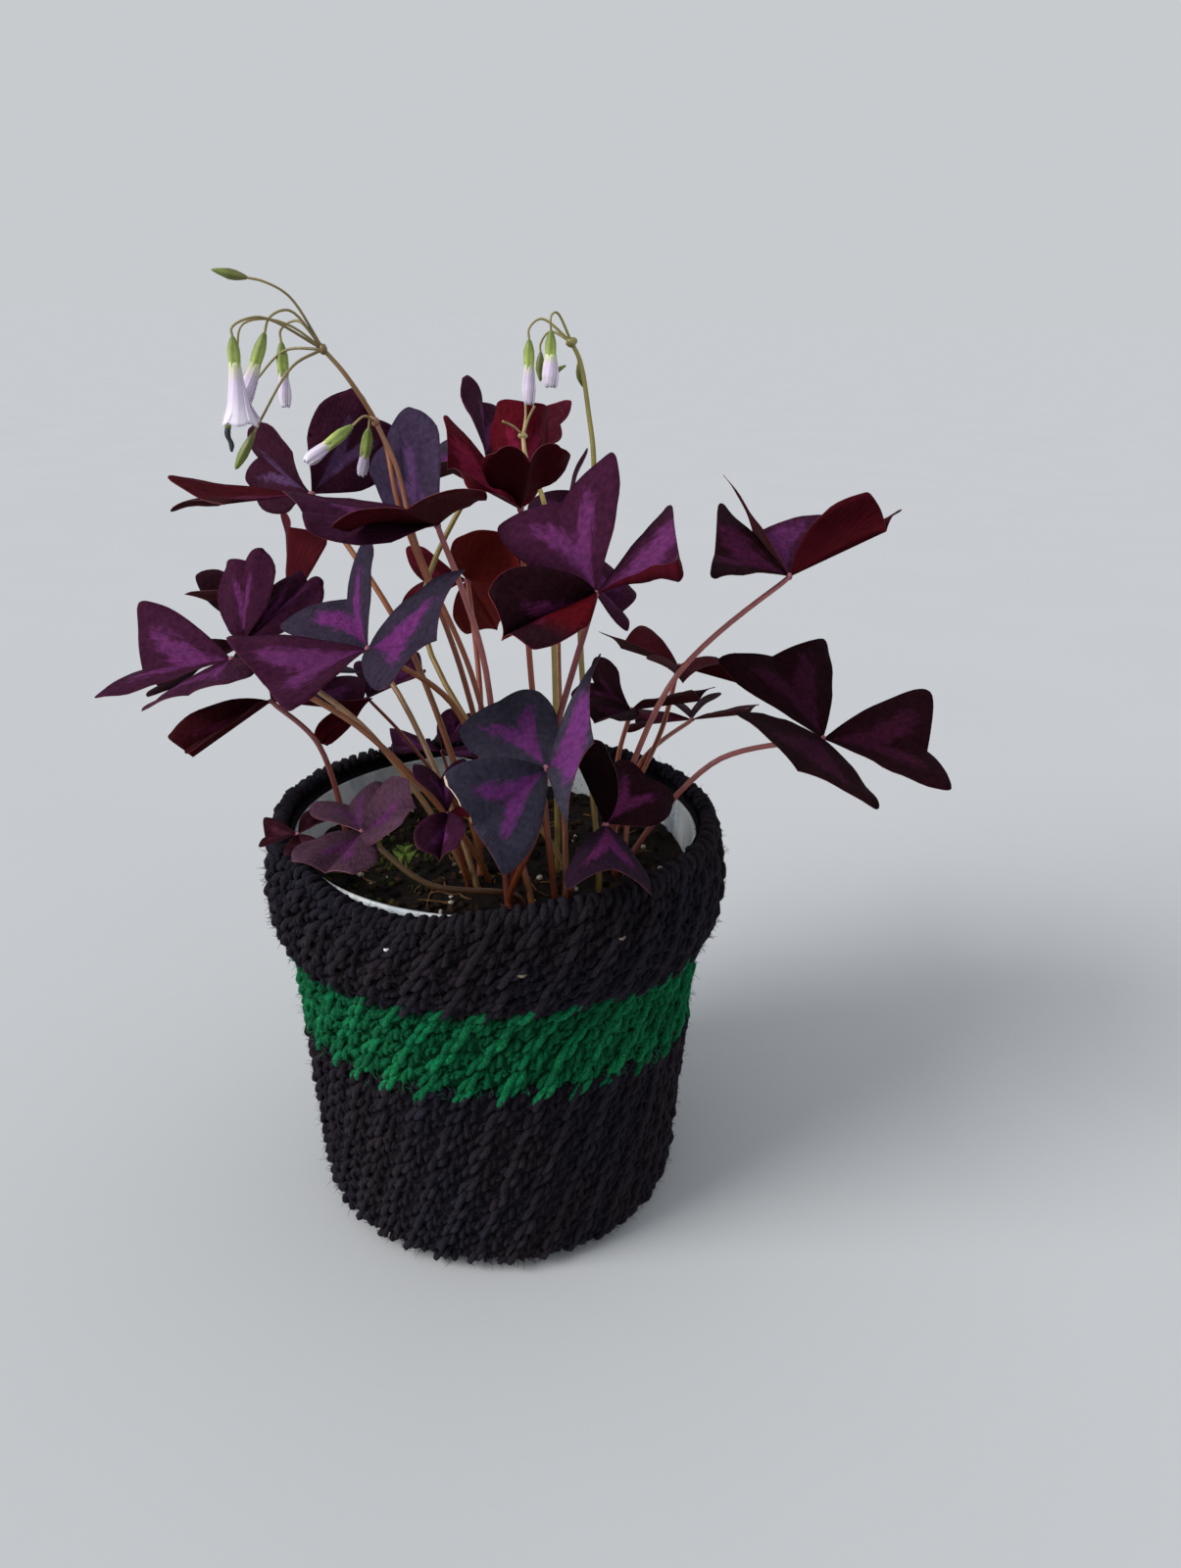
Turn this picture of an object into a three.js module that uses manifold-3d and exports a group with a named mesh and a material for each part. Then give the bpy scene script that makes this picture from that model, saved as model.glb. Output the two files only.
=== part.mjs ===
// Purple shamrock (Oxalis triangularis) in a white plastic pot inside a crocheted cover.
// Millimetres, +Z up, the origin at the centre of the cover's flat base, -Y the front.
import * as THREE from "three";
import { mergeVertices } from "three/addons/utils/BufferGeometryUtils.js";
import Module from "manifold-3d";

const wasm = await Module();
wasm.setup();

// ---------------------------------------------------------------- driving dimensions
const CLEARANCE = 0.35; // gap left between two pieces that touch
const ROUND_SEGMENTS = 32; // sides of the pot and of the cover

const COVER_BASE_THICKNESS = 5;
const COVER_FOOT_RADIUS = 66; // flat of the base, inside its rounded corner
const COVER_LOW_RADIUS = 71.5;
const COVER_WAIST_RADIUS = 77.5; // just under the cuff
const CUFF_RADIUS = 85.5;
const CUFF_TOP = 158;
const BAND_BOTTOM = 77; // green band, at the sides
const BAND_TOP = 107;
const BAND_RISE = 9; // the band rides higher in front and lower behind by this much

const POT_RIM_RADIUS = 75;
const POT_RIM_TOP = 152;
const POT_COLLAR_BOTTOM = 128;
const POT_NECK_RADIUS = 71.8; // just under the collar
const POT_FOOT_RADIUS = 64.5;
const POT_WALL = 1.6;
const DRAIN_HOLES = 6;
const DRAIN_RADIUS = 5;
const DRAIN_CIRCLE_RADIUS = 36;

const SOIL_TOP = 138;
const SOIL_SWELL = 2.5; // how far the surface rises and dips

const PETIOLE_RADIUS = 1.2;
const PETIOLE_SIDES = 5;
const PETIOLE_STEPS = 5;
const ROOT_DEPTH = 8; // how far a stem runs on below the soil

const BLADE_THICKNESS = 0.7;
const HUB_RADIUS = 1.6;
const RIB_SHARES = [0.01, 0.4, 0.75, 1]; // points of the midrib, as shares of the way to the notch

const SCAPE_RADIUS = 1.0;
const PEDICEL_RADIUS = 0.7;
const CALYX_RADIUS = 1.9;
const COROLLA_WALL = 0.7;
const PETALS = 5;
const COROLLA_STATIONS = [[0, 0.3], [0.35, 0.42], [0.7, 0.62], [1, 1]]; // [share of length, of mouth]

const COLOURS = {
  yarnBlack: 0x17141a,
  yarnGreen: 0x0b7a52,
  pot: 0xdfe3e4,
  soil: 0x1d1712,
  petiole: 0x7d4425,
  leaf: 0x43204a,
  scape: 0x8a8440,
  corolla: 0xd9c9e6,
  seedling: 0x5f9a3c,
};

// Crowns of the rhizome, [x, y] on the soil, that the stems fan out from.
const CROWNS = [
  [8, -44],
  [22, -30],
  [44, -10],
  [-8, -24],
  [-56, 4],
  [-16, 40],
];

// One row a leaf. hub is where its three leaflets meet, side is the length of a leaflet's side,
// crown is where its stalk starts, via is a point that the stalk passes, and each leaflet is
// [left corner, right corner, sink], the corners given from the hub with the upper face up,
// and sink is how many degrees the midrib lies below their plane, or above it where negative.
const LEAVES = [
  {
    name: "leaf_01",
    hub: [-89, -15, 220], side: 46, crown: 3, via: [-44, -32, 200],
    leaflets: [
      [[-41, -10, -10], [-35, 26, 14], 17],
      [[9, -43, 5], [-19, -41, -4], 0],
      [[14, 40, -6], [40, 18, -10], 6],
    ],
  },
  {
    name: "leaf_02",
    hub: [-91, 15, 217], side: 39, crown: 3, via: [-46, -8, 192],
    leaflets: [
      [[-10, 30, 23], [6, 25, 31], 0],
      [[16, 30, 20], [28, 22, 18], 0],
      [[-30, -22, -14], [-38, 6, -8], 10],
    ],
  },
  {
    name: "leaf_03",
    hub: [-83, 60, 221], side: 44, crown: 3, via: [-44, 30, 204],
    leaflets: [
      [[22, -24, 30], [-4, 29, 32], 10],
      [[-42, 12, 2], [-38, 20, 8], 24],
      [[-24, 36, -5], [4, 40, -6], 14],
    ],
  },
  {
    name: "leaf_04",
    hub: [-64, 20, 270], side: 48, crown: 3, via: [-30, -6, 222],
    leaflets: [
      [[-46, -12, 8], [-47, -12, -5], 35],
      [[-29, 38, -2], [-26, 36, 19], 3],
      [[11, 32, 33], [29, 35, 15], 0],
    ],
  },
  {
    name: "leaf_05",
    hub: [-18, -30, 268], side: 48, crown: 0, via: [-4, -24, 222],
    leaflets: [
      [[-35, -32, 3], [-47, -5, 11], 0],
      [[-24, 41, 9], [-9, 33, 34], -4],
      [[15, -42, 17], [-29, -38, 6], 0],
    ],
  },
  {
    name: "leaf_06",
    hub: [-40, -45, 232], side: 46, crown: 0, via: [-14, -25, 206],
    leaflets: [
      [[-19, -42, -7], [-45, 8, 2], 8],
      [[-33, 32, 0], [-1, 34, 30], 15],
      [[31, -17, 30], [10, -45, 0], 8],
    ],
  },
  {
    name: "leaf_07",
    hub: [-82, 10, 197], side: 38, crown: 4, via: [-66, 7, 182],
    leaflets: [
      [[-25, -28, -10], [-36, -12, -9], 12],
      [[0, 36, 2], [24, 27, 6], 14],
      [[30, 20, 2], [34, -6, 2], 14],
    ],
  },
  {
    name: "leaf_08",
    hub: [9, 10, 267], side: 44, crown: 1, via: [12, -12, 215],
    leaflets: [
      [[-17, -39, 12], [-26, 17, 30], 14],
      [[12, -34, 25], [-8, -36, 24], 5],
      [[-8, 29, 32], [11, 31, 30], -14],
    ],
  },
  {
    name: "leaf_09",
    hub: [-3, 50, 278], side: 42, crown: 1, via: [-28, 36, 222],
    leaflets: [
      [[-8, 29, 30], [7, 40, 12], 2],
      [[33, 15, 22], [28, 31, 4], 0],
      [[-38, 20, -8], [-22, 38, 2], 14],
    ],
  },
  {
    name: "leaf_10",
    hub: [31, -50, 251], side: 47, crown: 0, via: [20, -49, 210],
    leaflets: [
      [[-31, 33, 14], [7, 24, 40], 6],
      [[26, 32, 23], [22, -40, 9], 10],
      [[-20, -42, -6], [-33, -32, 8], 14],
    ],
  },
  {
    name: "leaf_11",
    hub: [24, 45, 247], side: 42, crown: 1, via: [24, 30, 205],
    leaflets: [
      [[-10, 39, 11], [12, 18, 36], 14],
      [[32, 16, -20], [26, -14, -28], 8],
      [[6, -36, -12], [-13, -38, -2], 4],
    ],
  },
  {
    name: "leaf_12",
    hub: [-11, 60, 231], side: 40, crown: 3, via: [-6, 20, 195],
    leaflets: [
      [[27, -29, 8], [-4, -33, 22], -24],
      [[-29, 22, -17], [-26, 29, 7], 14],
      [[-2, 26, -28], [18, 30, -16], 14],
    ],
  },
  {
    name: "leaf_13",
    hub: [104, 0, 246], side: 44, crown: 2, via: [62, -14, 212],
    leaflets: [
      [[-33, -28, 4], [-18, 30, 18], 10],
      [[-25, 14, 35], [22, 36, 16], 28],
      [[37, -8, 26], [18, -26, 36], 14],
    ],
  },
  {
    name: "leaf_14",
    hub: [116, -20, 192], side: 48, crown: 2, via: [80, -10, 180],
    leaflets: [
      [[-38, 12, 25], [9, 40, 25], 2],
      [[43, 17, 13], [36, -31, -8], 10],
      [[7, -47, -8], [-37, -22, 18], 8],
    ],
  },
  {
    name: "leaf_15",
    hub: [78, 75, 191], side: 38, crown: 2, via: [70, 58, 170],
    leaflets: [
      [[-34, -3, 15], [-11, 35, 9], 16],
      [[12, -34, 12], [-18, -31, 12], 16],
      [[36, 8, -4], [32, -17, 2], 12],
    ],
  },
  {
    name: "leaf_16",
    hub: [56, 55, 178], side: 36, crown: 2, via: [50, 44, 162],
    leaflets: [
      [[-23, 26, -2], [-12, 30, 14], 10],
      [[35, 2, 9], [18, -26, 16], 8],
      [[-8, -33, 6], [-26, -21, 10], 8],
    ],
  },
  {
    name: "leaf_17",
    hub: [86, 80, 165], side: 36, crown: 2, via: [58, 38, 160],
    leaflets: [
      [[-30, -18, 1], [-20, 28, -4], 6],
      [[33, 14, 2], [16, -28, 14], 6],
      [[-8, 30, 0], [16, 28, 3], 14],
    ],
  },
  {
    name: "leaf_18",
    hub: [15, -75, 203], side: 39, crown: 0, via: [13, -66, 180],
    leaflets: [
      [[-27, 27, 2], [0, 36, 13], -10],
      [[16, 8, 34], [4, -38, -2], 10],
      [[-13, -30, -21], [-31, -22, 6], 4],
    ],
  },
  {
    name: "leaf_19",
    hub: [36, -50, 173], side: 38, crown: 1, via: [30, -42, 158],
    leaflets: [
      [[7, 36, 9], [27, 26, -3], -4],
      [[12, -34, -9], [-15, -34, -6], -12],
      [[-2, -16, 34], [-10, 12, 35], 14],
    ],
  },
  {
    name: "leaf_20",
    hub: [-45, -45, 169], side: 36, crown: 0, via: [-24, -50, 152],
    leaflets: [
      [[-21, 29, -2], [2, 36, 4], 8],
      [[14, -14, 21], [16, -29, 15], 8],
      [[2, -35, 2], [-18, -30, 4], 4],
    ],
  },
  {
    name: "leaf_21",
    hub: [-16, -58, 181], side: 28, crown: 3, via: [-14, -34, 160],
    leaflets: [
      [[-12, 24, 8], [5, 26, 9], 14],
      [[24, -10, 10], [22, 12, 12], 10],
      [[5, -31, 1], [-9, -30, 1], 14],
    ],
  },
  {
    name: "leaf_22",
    hub: [-68, -35, 164], side: 14, crown: 4, via: [-62, -26, 150],
    leaflets: [
      [[-11, -7, -1], [-12, 6, 4], 14],
      [[2, 12, 3], [11, 7, 3], 14],
      [[9, -9, 0], [-2, -13, -1], 14],
    ],
  },
  {
    name: "leaf_23",
    hub: [-23, 60, 158], side: 26, crown: 5, via: [-20, 52, 150],
    leaflets: [
      [[4, 22, 12], [14, 20, 10], 6],
      [[22, -8, 4], [8, -22, 6], 8],
      [[-18, -16, 6], [-20, 10, 6], 8],
    ],
  },
  {
    name: "leaf_24",
    hub: [-50, 35, 190], side: 28, crown: 5, via: [-36, 38, 172],
    leaflets: [
      [[-12, -22, -11], [-17, -14, -11], 5],
      [[-6, 26, 8], [14, 23, 6], 14],
      [[18, 14, 14], [22, -8, 12], 10],
    ],
  },
];

// One row a flower stalk. foot is where it leaves the soil, path runs on from there to its tip, and
// each flower has the route of its own short stalk, the length of its green calyx and, where it is
// open, its corolla's length and the radius of its mouth. The last step of a route says which way
// the flower hangs.
const SCAPES = [
  {
    name: "flower_stalk_1",
    foot: [2, -14],
    path: [[-12, -12, 215], [-31, -15, 272], [-36, -8, 293], [-46, -11, 311], [-53, -10, 319]],
    flowers: [
      { route: [[-62, -12, 334], [-69, -14, 338], [-74, -15, 339]], calyx: 7, bud: 3 },
      { route: [[-62, -13, 330], [-68, -14, 328], [-70, -14, 323]], calyx: 9, corolla: 15, mouth: 3 },
      { route: [[-61, -5, 327], [-67, -2, 324], [-67, -2, 320]], calyx: 8, corolla: 11, mouth: 2.2 },
      { route: [[-70, -19, 328], [-78, -22, 325], [-78, -22, 322]], calyx: 7, corolla: 18, mouth: 5.5 },
      { route: [[-62, -14, 314], [-72, -17, 299], [-75, -17, 294]], calyx: 11, bud: 2 },
      { route: [[-66, -4, 318], [-76, 0, 309], [-79, 1, 306]], calyx: 3, bud: 4 },
    ],
  },
  {
    name: "flower_stalk_2",
    foot: [6, -22],
    path: [[-8, -20, 215], [-25, -24, 260], [-31, -20, 285], [-37, -18, 298]],
    flowers: [
      { route: [[-40, -21, 300], [-44, -23, 297]], calyx: 9, corolla: 9, mouth: 2.4 },
      { route: [[-39, -13, 299], [-40, -11, 295]], calyx: 8, corolla: 9, mouth: 2 },
    ],
  },
  {
    name: "flower_stalk_3",
    foot: [36, -30],
    path: [[30, 2, 230], [34, 5, 282], [32, 8, 300], [29, 10, 316], [26, 10, 322]],
    flowers: [
      { route: [[21, 8, 331], [19, 6, 330], [19, 6, 325]], calyx: 7, corolla: 10, mouth: 3.2 },
      { route: [[16, 11, 329], [12, 11, 326], [12, 11, 322]], calyx: 7, corolla: 13, mouth: 2.6 },
      { route: [[19, 15, 325], [16, 17, 321], [16, 17, 318]], calyx: 7, bud: 2 },
      { route: [[28, 14, 319], [29, 16, 315]], calyx: 7, bud: 2 },
    ],
  },
  {
    name: "flower_stalk_4",
    foot: [22, -14],
    path: [[20, 2, 235], [17, 11, 270], [11, 15, 284], [10, 18, 291]],
    flowers: [
      { route: [[11, 20, 297], [11, 22, 302]] },
      { route: [[12, 17, 297], [14, 16, 301]] },
      { route: [[7, 16, 294], [3, 14, 296]] },
    ],
  },
];

// Small green clover seedlings on the soil: [x, y, height of the leaf, radius of the leaf].
const SEEDLINGS = [
  [-46, 14, 8, 6],
  [-34, -12, 7, 5],
];

// ---------------------------------------------------------------- small helpers
const vec = (point) => new THREE.Vector3(...point);
const radians = THREE.MathUtils.degToRad;

function solidFrom(geometry) {
  const bare = geometry.index ? geometry.clone() : geometry;
  bare.deleteAttribute("normal");
  bare.deleteAttribute("uv");
  const merged = mergeVertices(bare, 1e-4);
  return new wasm.Manifold(
    new wasm.Mesh({
      numProp: 3,
      vertProperties: new Float32Array(merged.attributes.position.array),
      triVerts: new Uint32Array(merged.index.array),
    }),
  );
}

function geometryFrom(solid) {
  const mesh = solid.getMesh();
  const geometry = new THREE.BufferGeometry();
  geometry.setAttribute("position", new THREE.BufferAttribute(mesh.vertProperties, 3));
  geometry.setIndex(new THREE.BufferAttribute(mesh.triVerts, 1));
  geometry.computeVertexNormals();
  return geometry;
}

const joined = (solids) => solids.reduce((sum, solid) => sum.add(solid));

// A closed round tube of one radius along a smooth curve through the points.
function tube(points, radius, sides, steps) {
  const outline = new THREE.Shape();
  for (let i = 0; i < sides; i += 1) {
    const turn = (2 * Math.PI * i) / sides;
    const corner = [radius * Math.cos(turn), radius * Math.sin(turn)];
    if (i === 0) outline.moveTo(...corner);
    else outline.lineTo(...corner);
  }
  outline.closePath();
  const path = new THREE.CatmullRomCurve3(points, false, "centripetal");
  return solidFrom(new THREE.ExtrudeGeometry(outline, { steps, extrudePath: path, bevelEnabled: false }));
}

function ball(centre, radii, across = 5, down = 3) {
  const geometry = new THREE.SphereGeometry(1, across, down);
  geometry.scale(...radii).translate(...centre.toArray());
  return solidFrom(geometry);
}

// A body of revolution about Z from [radius, height] pairs that run up its outside.
function turned(profile, segments = ROUND_SEGMENTS) {
  const geometry = new THREE.LatheGeometry(profile.map(([r, z]) => new THREE.Vector2(r, z)), segments);
  geometry.rotateX(Math.PI / 2);
  return geometry;
}

// ---------------------------------------------------------------- pot, soil and cover
function potOuterRadius(z) {
  const foot = COVER_BASE_THICKNESS + CLEARANCE;
  if (z >= POT_COLLAR_BOTTOM - 2) return POT_RIM_RADIUS;
  const share = (z - foot) / (POT_COLLAR_BOTTOM - foot);
  return THREE.MathUtils.lerp(POT_FOOT_RADIUS, POT_NECK_RADIUS, Math.max(0, share));
}

function makePot() {
  const foot = COVER_BASE_THICKNESS + CLEARANCE;
  const neck = POT_COLLAR_BOTTOM - 2;
  const pot = solidFrom(
    turned([
      [0, foot],
      [POT_FOOT_RADIUS - 2, foot],
      [POT_FOOT_RADIUS, foot + 2],
      [POT_NECK_RADIUS, neck],
      [POT_RIM_RADIUS, POT_COLLAR_BOTTOM],
      [POT_RIM_RADIUS, POT_RIM_TOP],
      [POT_RIM_RADIUS - POT_WALL, POT_RIM_TOP],
      [POT_RIM_RADIUS - POT_WALL, POT_COLLAR_BOTTOM + 1],
      [POT_NECK_RADIUS - POT_WALL, neck + 1],
      [POT_FOOT_RADIUS - POT_WALL, foot + 2 + POT_WALL],
      [POT_FOOT_RADIUS - 2 - POT_WALL, foot + POT_WALL],
      [0, foot + POT_WALL],
    ]),
  );
  const drain = new THREE.CylinderGeometry(DRAIN_RADIUS, DRAIN_RADIUS, 6 * POT_WALL, 10);
  drain.rotateX(Math.PI / 2);
  const holes = [];
  for (let i = 0; i < DRAIN_HOLES; i += 1) {
    const turn = (2 * Math.PI * i) / DRAIN_HOLES;
    const place = [DRAIN_CIRCLE_RADIUS * Math.cos(turn), DRAIN_CIRCLE_RADIUS * Math.sin(turn), foot];
    holes.push(solidFrom(drain.clone().translate(...place)));
  }
  return pot.subtract(joined(holes));
}

// The soil's surface swells and dips a little, in long waves.
function soilHeight(x, y) {
  return SOIL_TOP + (SOIL_SWELL / 2) * (Math.sin(x / 17 + 1) + Math.cos(y / 14 - x / 31));
}

function makeSoil(stemRoom) {
  const bottom = COVER_BASE_THICKNESS + 2 * CLEARANCE + POT_WALL;
  const gap = POT_WALL + CLEARANCE;
  const rings = [40];
  const geometry = turned([
    [0, bottom],
    [POT_FOOT_RADIUS - 2 - gap, bottom],
    [POT_FOOT_RADIUS - gap, bottom + 2],
    [POT_NECK_RADIUS - gap, POT_COLLAR_BOTTOM - 0.6],
    [POT_RIM_RADIUS - gap, POT_COLLAR_BOTTOM + 1.8],
    [POT_RIM_RADIUS - gap, SOIL_TOP],
    ...rings.map((radius) => [radius, SOIL_TOP]),
    [0, SOIL_TOP],
  ]);
  const place = geometry.attributes.position;
  for (let i = 0; i < place.count; i += 1) {
    if (place.getZ(i) < SOIL_TOP - 0.01) continue;
    place.setZ(i, soilHeight(place.getX(i), place.getY(i)));
  }
  return solidFrom(geometry).subtract(stemRoom);
}

// Rows of the cover ride up in front round the green band, and are level at the base and the cuff.
function coverRise(height, y) {
  const middle = (BAND_BOTTOM + BAND_TOP) / 2;
  const reach = height < middle ? height / middle : 1 - (height - middle) / (CUFF_TOP - middle);
  return BAND_RISE * Math.max(0, reach) * (-y / COVER_WAIST_RADIUS);
}

function coverRing(profile) {
  const geometry = turned(profile);
  const place = geometry.attributes.position;
  for (let i = 0; i < place.count; i += 1) {
    const height = place.getZ(i);
    place.setZ(i, height + coverRise(height, place.getY(i)));
  }
  return solidFrom(geometry);
}

const coverOuterRadius = (height) =>
  THREE.MathUtils.lerp(COVER_LOW_RADIUS, COVER_WAIST_RADIUS, (height - 16) / (BAND_TOP - 16));
const coverInnerRadius = (height) => potOuterRadius(height + BAND_RISE) + CLEARANCE;

function makeCoverLower() {
  const top = BAND_BOTTOM - CLEARANCE;
  const floorTop = COVER_BASE_THICKNESS;
  return coverRing([
    [0, 0],
    [COVER_FOOT_RADIUS, 0],
    [COVER_LOW_RADIUS - 1.6, 5],
    [coverOuterRadius(16), 16],
    [coverOuterRadius(46), 46],
    [coverOuterRadius(top), top],
    [coverInnerRadius(top), top],
    [coverInnerRadius(30), 30],
    [coverInnerRadius(floorTop), floorTop - 0.8],
    [0, floorTop - 0.8],
  ]);
}

function makeCoverBand() {
  return coverRing([
    [coverInnerRadius(BAND_TOP), BAND_BOTTOM],
    [coverOuterRadius(BAND_BOTTOM), BAND_BOTTOM],
    [coverOuterRadius(BAND_TOP), BAND_TOP],
    [coverInnerRadius(BAND_TOP), BAND_TOP],
    [coverInnerRadius(BAND_TOP), BAND_BOTTOM],
  ]);
}

function makeCoverCuff() {
  const bottom = BAND_TOP + CLEARANCE;
  const inner = POT_RIM_RADIUS + CLEARANCE;
  return coverRing([
    [inner, bottom],
    [COVER_WAIST_RADIUS, bottom],
    [CUFF_RADIUS - 3, bottom + 8],
    [CUFF_RADIUS, bottom + 22],
    [CUFF_RADIUS - 0.6, CUFF_TOP - 14],
    [CUFF_RADIUS - 3, CUFF_TOP - 4],
    [CUFF_RADIUS - 6, CUFF_TOP],
    [inner + 1, CUFF_TOP - 1],
    [inner, CUFF_TOP - 4],
    [inner, bottom],
  ]);
}

// ---------------------------------------------------------------- stems
// A stalk rises from its crown, leans through its via point and comes up to its leaf from below.
function petiolePath(leaf, index) {
  const [crownX, crownY] = CROWNS[leaf.crown];
  const turn = index * 2.4;
  const spread = 4.5;
  const x = crownX + spread * Math.cos(turn);
  const y = crownY + spread * Math.sin(turn);
  const hub = vec(leaf.hub);
  const via = vec(leaf.via);
  const arriving = hub.clone().sub(via).normalize();
  const end = hub.clone().addScaledVector(arriving, -(HUB_RADIUS + 2 * CLEARANCE));
  return [
    new THREE.Vector3(crownX + 0.5 * (x - crownX), crownY + 0.5 * (y - crownY), SOIL_TOP - ROOT_DEPTH),
    new THREE.Vector3(x, y, SOIL_TOP + 2),
    via,
    end,
  ];
}

// The rhizome's scaly crowns lie in a chain under the soil, and every leaf stalk grows from them.
function makeStems(extra) {
  const pieces = LEAVES.map((leaf, index) =>
    tube(petiolePath(leaf, index), PETIOLE_RADIUS + extra, PETIOLE_SIDES, PETIOLE_STEPS),
  );
  const crowns = CROWNS.map(([x, y]) => new THREE.Vector3(x, y, SOIL_TOP - ROOT_DEPTH));
  crowns.forEach((crown) => pieces.push(ball(crown, [8 + extra, 8 + extra, 5 + extra], 6, 4)));
  const order = [4, 3, 0, 1, 2];
  for (let i = 1; i < order.length; i += 1) {
    pieces.push(tube([crowns[order[i - 1]], crowns[order[i]]], 4 + extra, 6, 1));
  }
  pieces.push(tube([crowns[3], crowns[5]], 4 + extra, 6, 1));
  return joined(pieces);
}

// ---------------------------------------------------------------- leaves
// Half of a leaflet's outline, for a side of 1. Its outer edge leaves the hub at the wide angle and
// closes in on the corner, as [share of the side, share of the way from the corner's turn to the
// wide angle]. Its far edge is nearly straight from the corner to the notch, as [share of the way,
// how far it bows out]. The notch lies a little short of the line between the two corners.
const WIDE_ANGLE = radians(46);
const OUTER_EDGE = [
  [0.1, 0.98],
  [0.42, 0.74],
  [0.77, 0.39],
  [0.98, 0.03],
];
const FAR_EDGE = [
  [0.3, 0.024],
  [0.65, 0.016],
];
const EDGE_POINTS = OUTER_EDGE.length + FAR_EDGE.length;

function notchShare(turn) {
  return 0.93 * Math.cos(turn) + 0.02;
}

// Points of the outline as [along the midrib, out from it].
function halfOutline(turn) {
  const outer = OUTER_EDGE.map(([reach, share]) => {
    const angle = turn + (WIDE_ANGLE - turn) * share;
    return [reach * Math.cos(angle), reach * Math.sin(angle)];
  });
  const corner = new THREE.Vector2(Math.cos(turn), Math.sin(turn));
  const notch = new THREE.Vector2(notchShare(turn), 0);
  const bow = new THREE.Vector2(corner.y, notch.x - corner.x).normalize();
  if (bow.x < 0) bow.negate();
  const far = FAR_EDGE.map(([share, swell]) =>
    corner.clone().lerp(notch, share).addScaledVector(bow, swell).toArray(),
  );
  return [...outer, ...far];
}

// The midrib's direction, and for each half its corner's turn from the midrib and the way it turns.
function leafletFrame([left, right, sink]) {
  const corners = [vec(left).normalize(), vec(right).normalize()];
  const normal = corners[1].clone().cross(corners[0]).normalize();
  const middle = corners[0].clone().add(corners[1]).normalize();
  const midrib = middle
    .multiplyScalar(Math.cos(radians(sink)))
    .addScaledVector(normal, -Math.sin(radians(sink)));
  const halves = corners.map((corner) => ({
    turn: corner.angleTo(midrib),
    away: corner.clone().addScaledVector(midrib, -corner.dot(midrib)).normalize(),
  }));
  return { midrib, halves };
}

// A leaflet is one thin folded blade, split into the same triangles on both faces.
function makeLeaflet(leaf, leaflet) {
  const { midrib, halves } = leafletFrame(leaflet);
  const notch = notchShare(halves[0].turn);
  const ribs = RIB_SHARES.map((share) => midrib.clone().multiplyScalar(leaf.side * notch * share));
  const edge = [halves[1], halves[0]].map(({ turn, away }) =>
    halfOutline(turn).map(([along, out]) =>
      midrib.clone().multiplyScalar(leaf.side * along).addScaledVector(away, leaf.side * out),
    ),
  );
  const points = [...ribs, ...edge[0], ...edge[1]];
  const faces = [];
  for (const start of [4, 4 + EDGE_POINTS]) {
    const [e0, e1, e2, e3, e4, e5] = Array.from({ length: EDGE_POINTS }, (_, i) => start + i);
    const half = [
      [0, e0, 1],
      [1, e0, e1],
      [1, e1, 2],
      [2, e1, e2],
      [2, e2, e3],
      [2, e3, e4],
      [2, e4, e5],
      [2, e5, 3],
    ];
    faces.push(...half.map(([a, b, c]) => (start === 4 ? [a, c, b] : [a, b, c])));
  }
  const rim = [0, 10, 11, 12, 13, 14, 15, 3, 9, 8, 7, 6, 5, 4];
  return { points, faces, rim, normals: bladeNormals(points, faces) };
}

function bladeNormals(points, faces) {
  const normals = points.map(() => new THREE.Vector3());
  for (const [a, b, c] of faces) {
    const one = points[b].clone().sub(points[a]);
    const two = points[c].clone().sub(points[a]);
    const normal = one.cross(two).normalize();
    [a, b, c].forEach((index) => normals[index].add(normal));
  }
  return normals.map((normal) => normal.normalize());
}

function bladeSolid({ points, faces, rim, normals }, centre) {
  const half = BLADE_THICKNESS / 2;
  const position = [];
  for (const sign of [1, -1]) {
    points.forEach((point, i) => {
      position.push(...point.clone().add(centre).addScaledVector(normals[i], sign * half).toArray());
    });
  }
  const count = points.length;
  const index = [];
  faces.forEach(([a, b, c]) => index.push(a, b, c, a + count, c + count, b + count));
  rim.forEach((from, i) => {
    const to = rim[(i + 1) % rim.length];
    index.push(from, from + count, to, to, from + count, to + count);
  });
  const geometry = new THREE.BufferGeometry();
  geometry.setAttribute("position", new THREE.Float32BufferAttribute(position, 3));
  geometry.setIndex(index);
  return solidFrom(geometry);
}

function makeLeaf(leaf) {
  const hub = vec(leaf.hub);
  const blades = leaf.leaflets.map((leaflet) => bladeSolid(makeLeaflet(leaf, leaflet), hub));
  return joined([ball(hub, [HUB_RADIUS, HUB_RADIUS, HUB_RADIUS]), ...blades]);
}

// ---------------------------------------------------------------- flowers
function flowerEnd(flower) {
  const route = flower.route.map(vec);
  const tip = route[route.length - 1];
  const along = tip.clone().sub(route[route.length - 2]).normalize();
  return { tip, along };
}

// Turns a solid of revolution about Z, that starts at the origin, to start at a point and run along.
function placedAlong(geometry, start, along) {
  const turn = new THREE.Quaternion().setFromUnitVectors(new THREE.Vector3(0, 0, 1), along);
  return solidFrom(geometry.applyQuaternion(turn).translate(...start.toArray()));
}

function scapeStem({ foot: [x, y], path }, extra = 0) {
  const below = new THREE.Vector3(x, y, SOIL_TOP - ROOT_DEPTH - extra);
  const above = new THREE.Vector3(x, y, SOIL_TOP + ROOT_DEPTH);
  return tube([below, above, ...path.map(vec)], SCAPE_RADIUS + extra, 5, 10);
}

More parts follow.
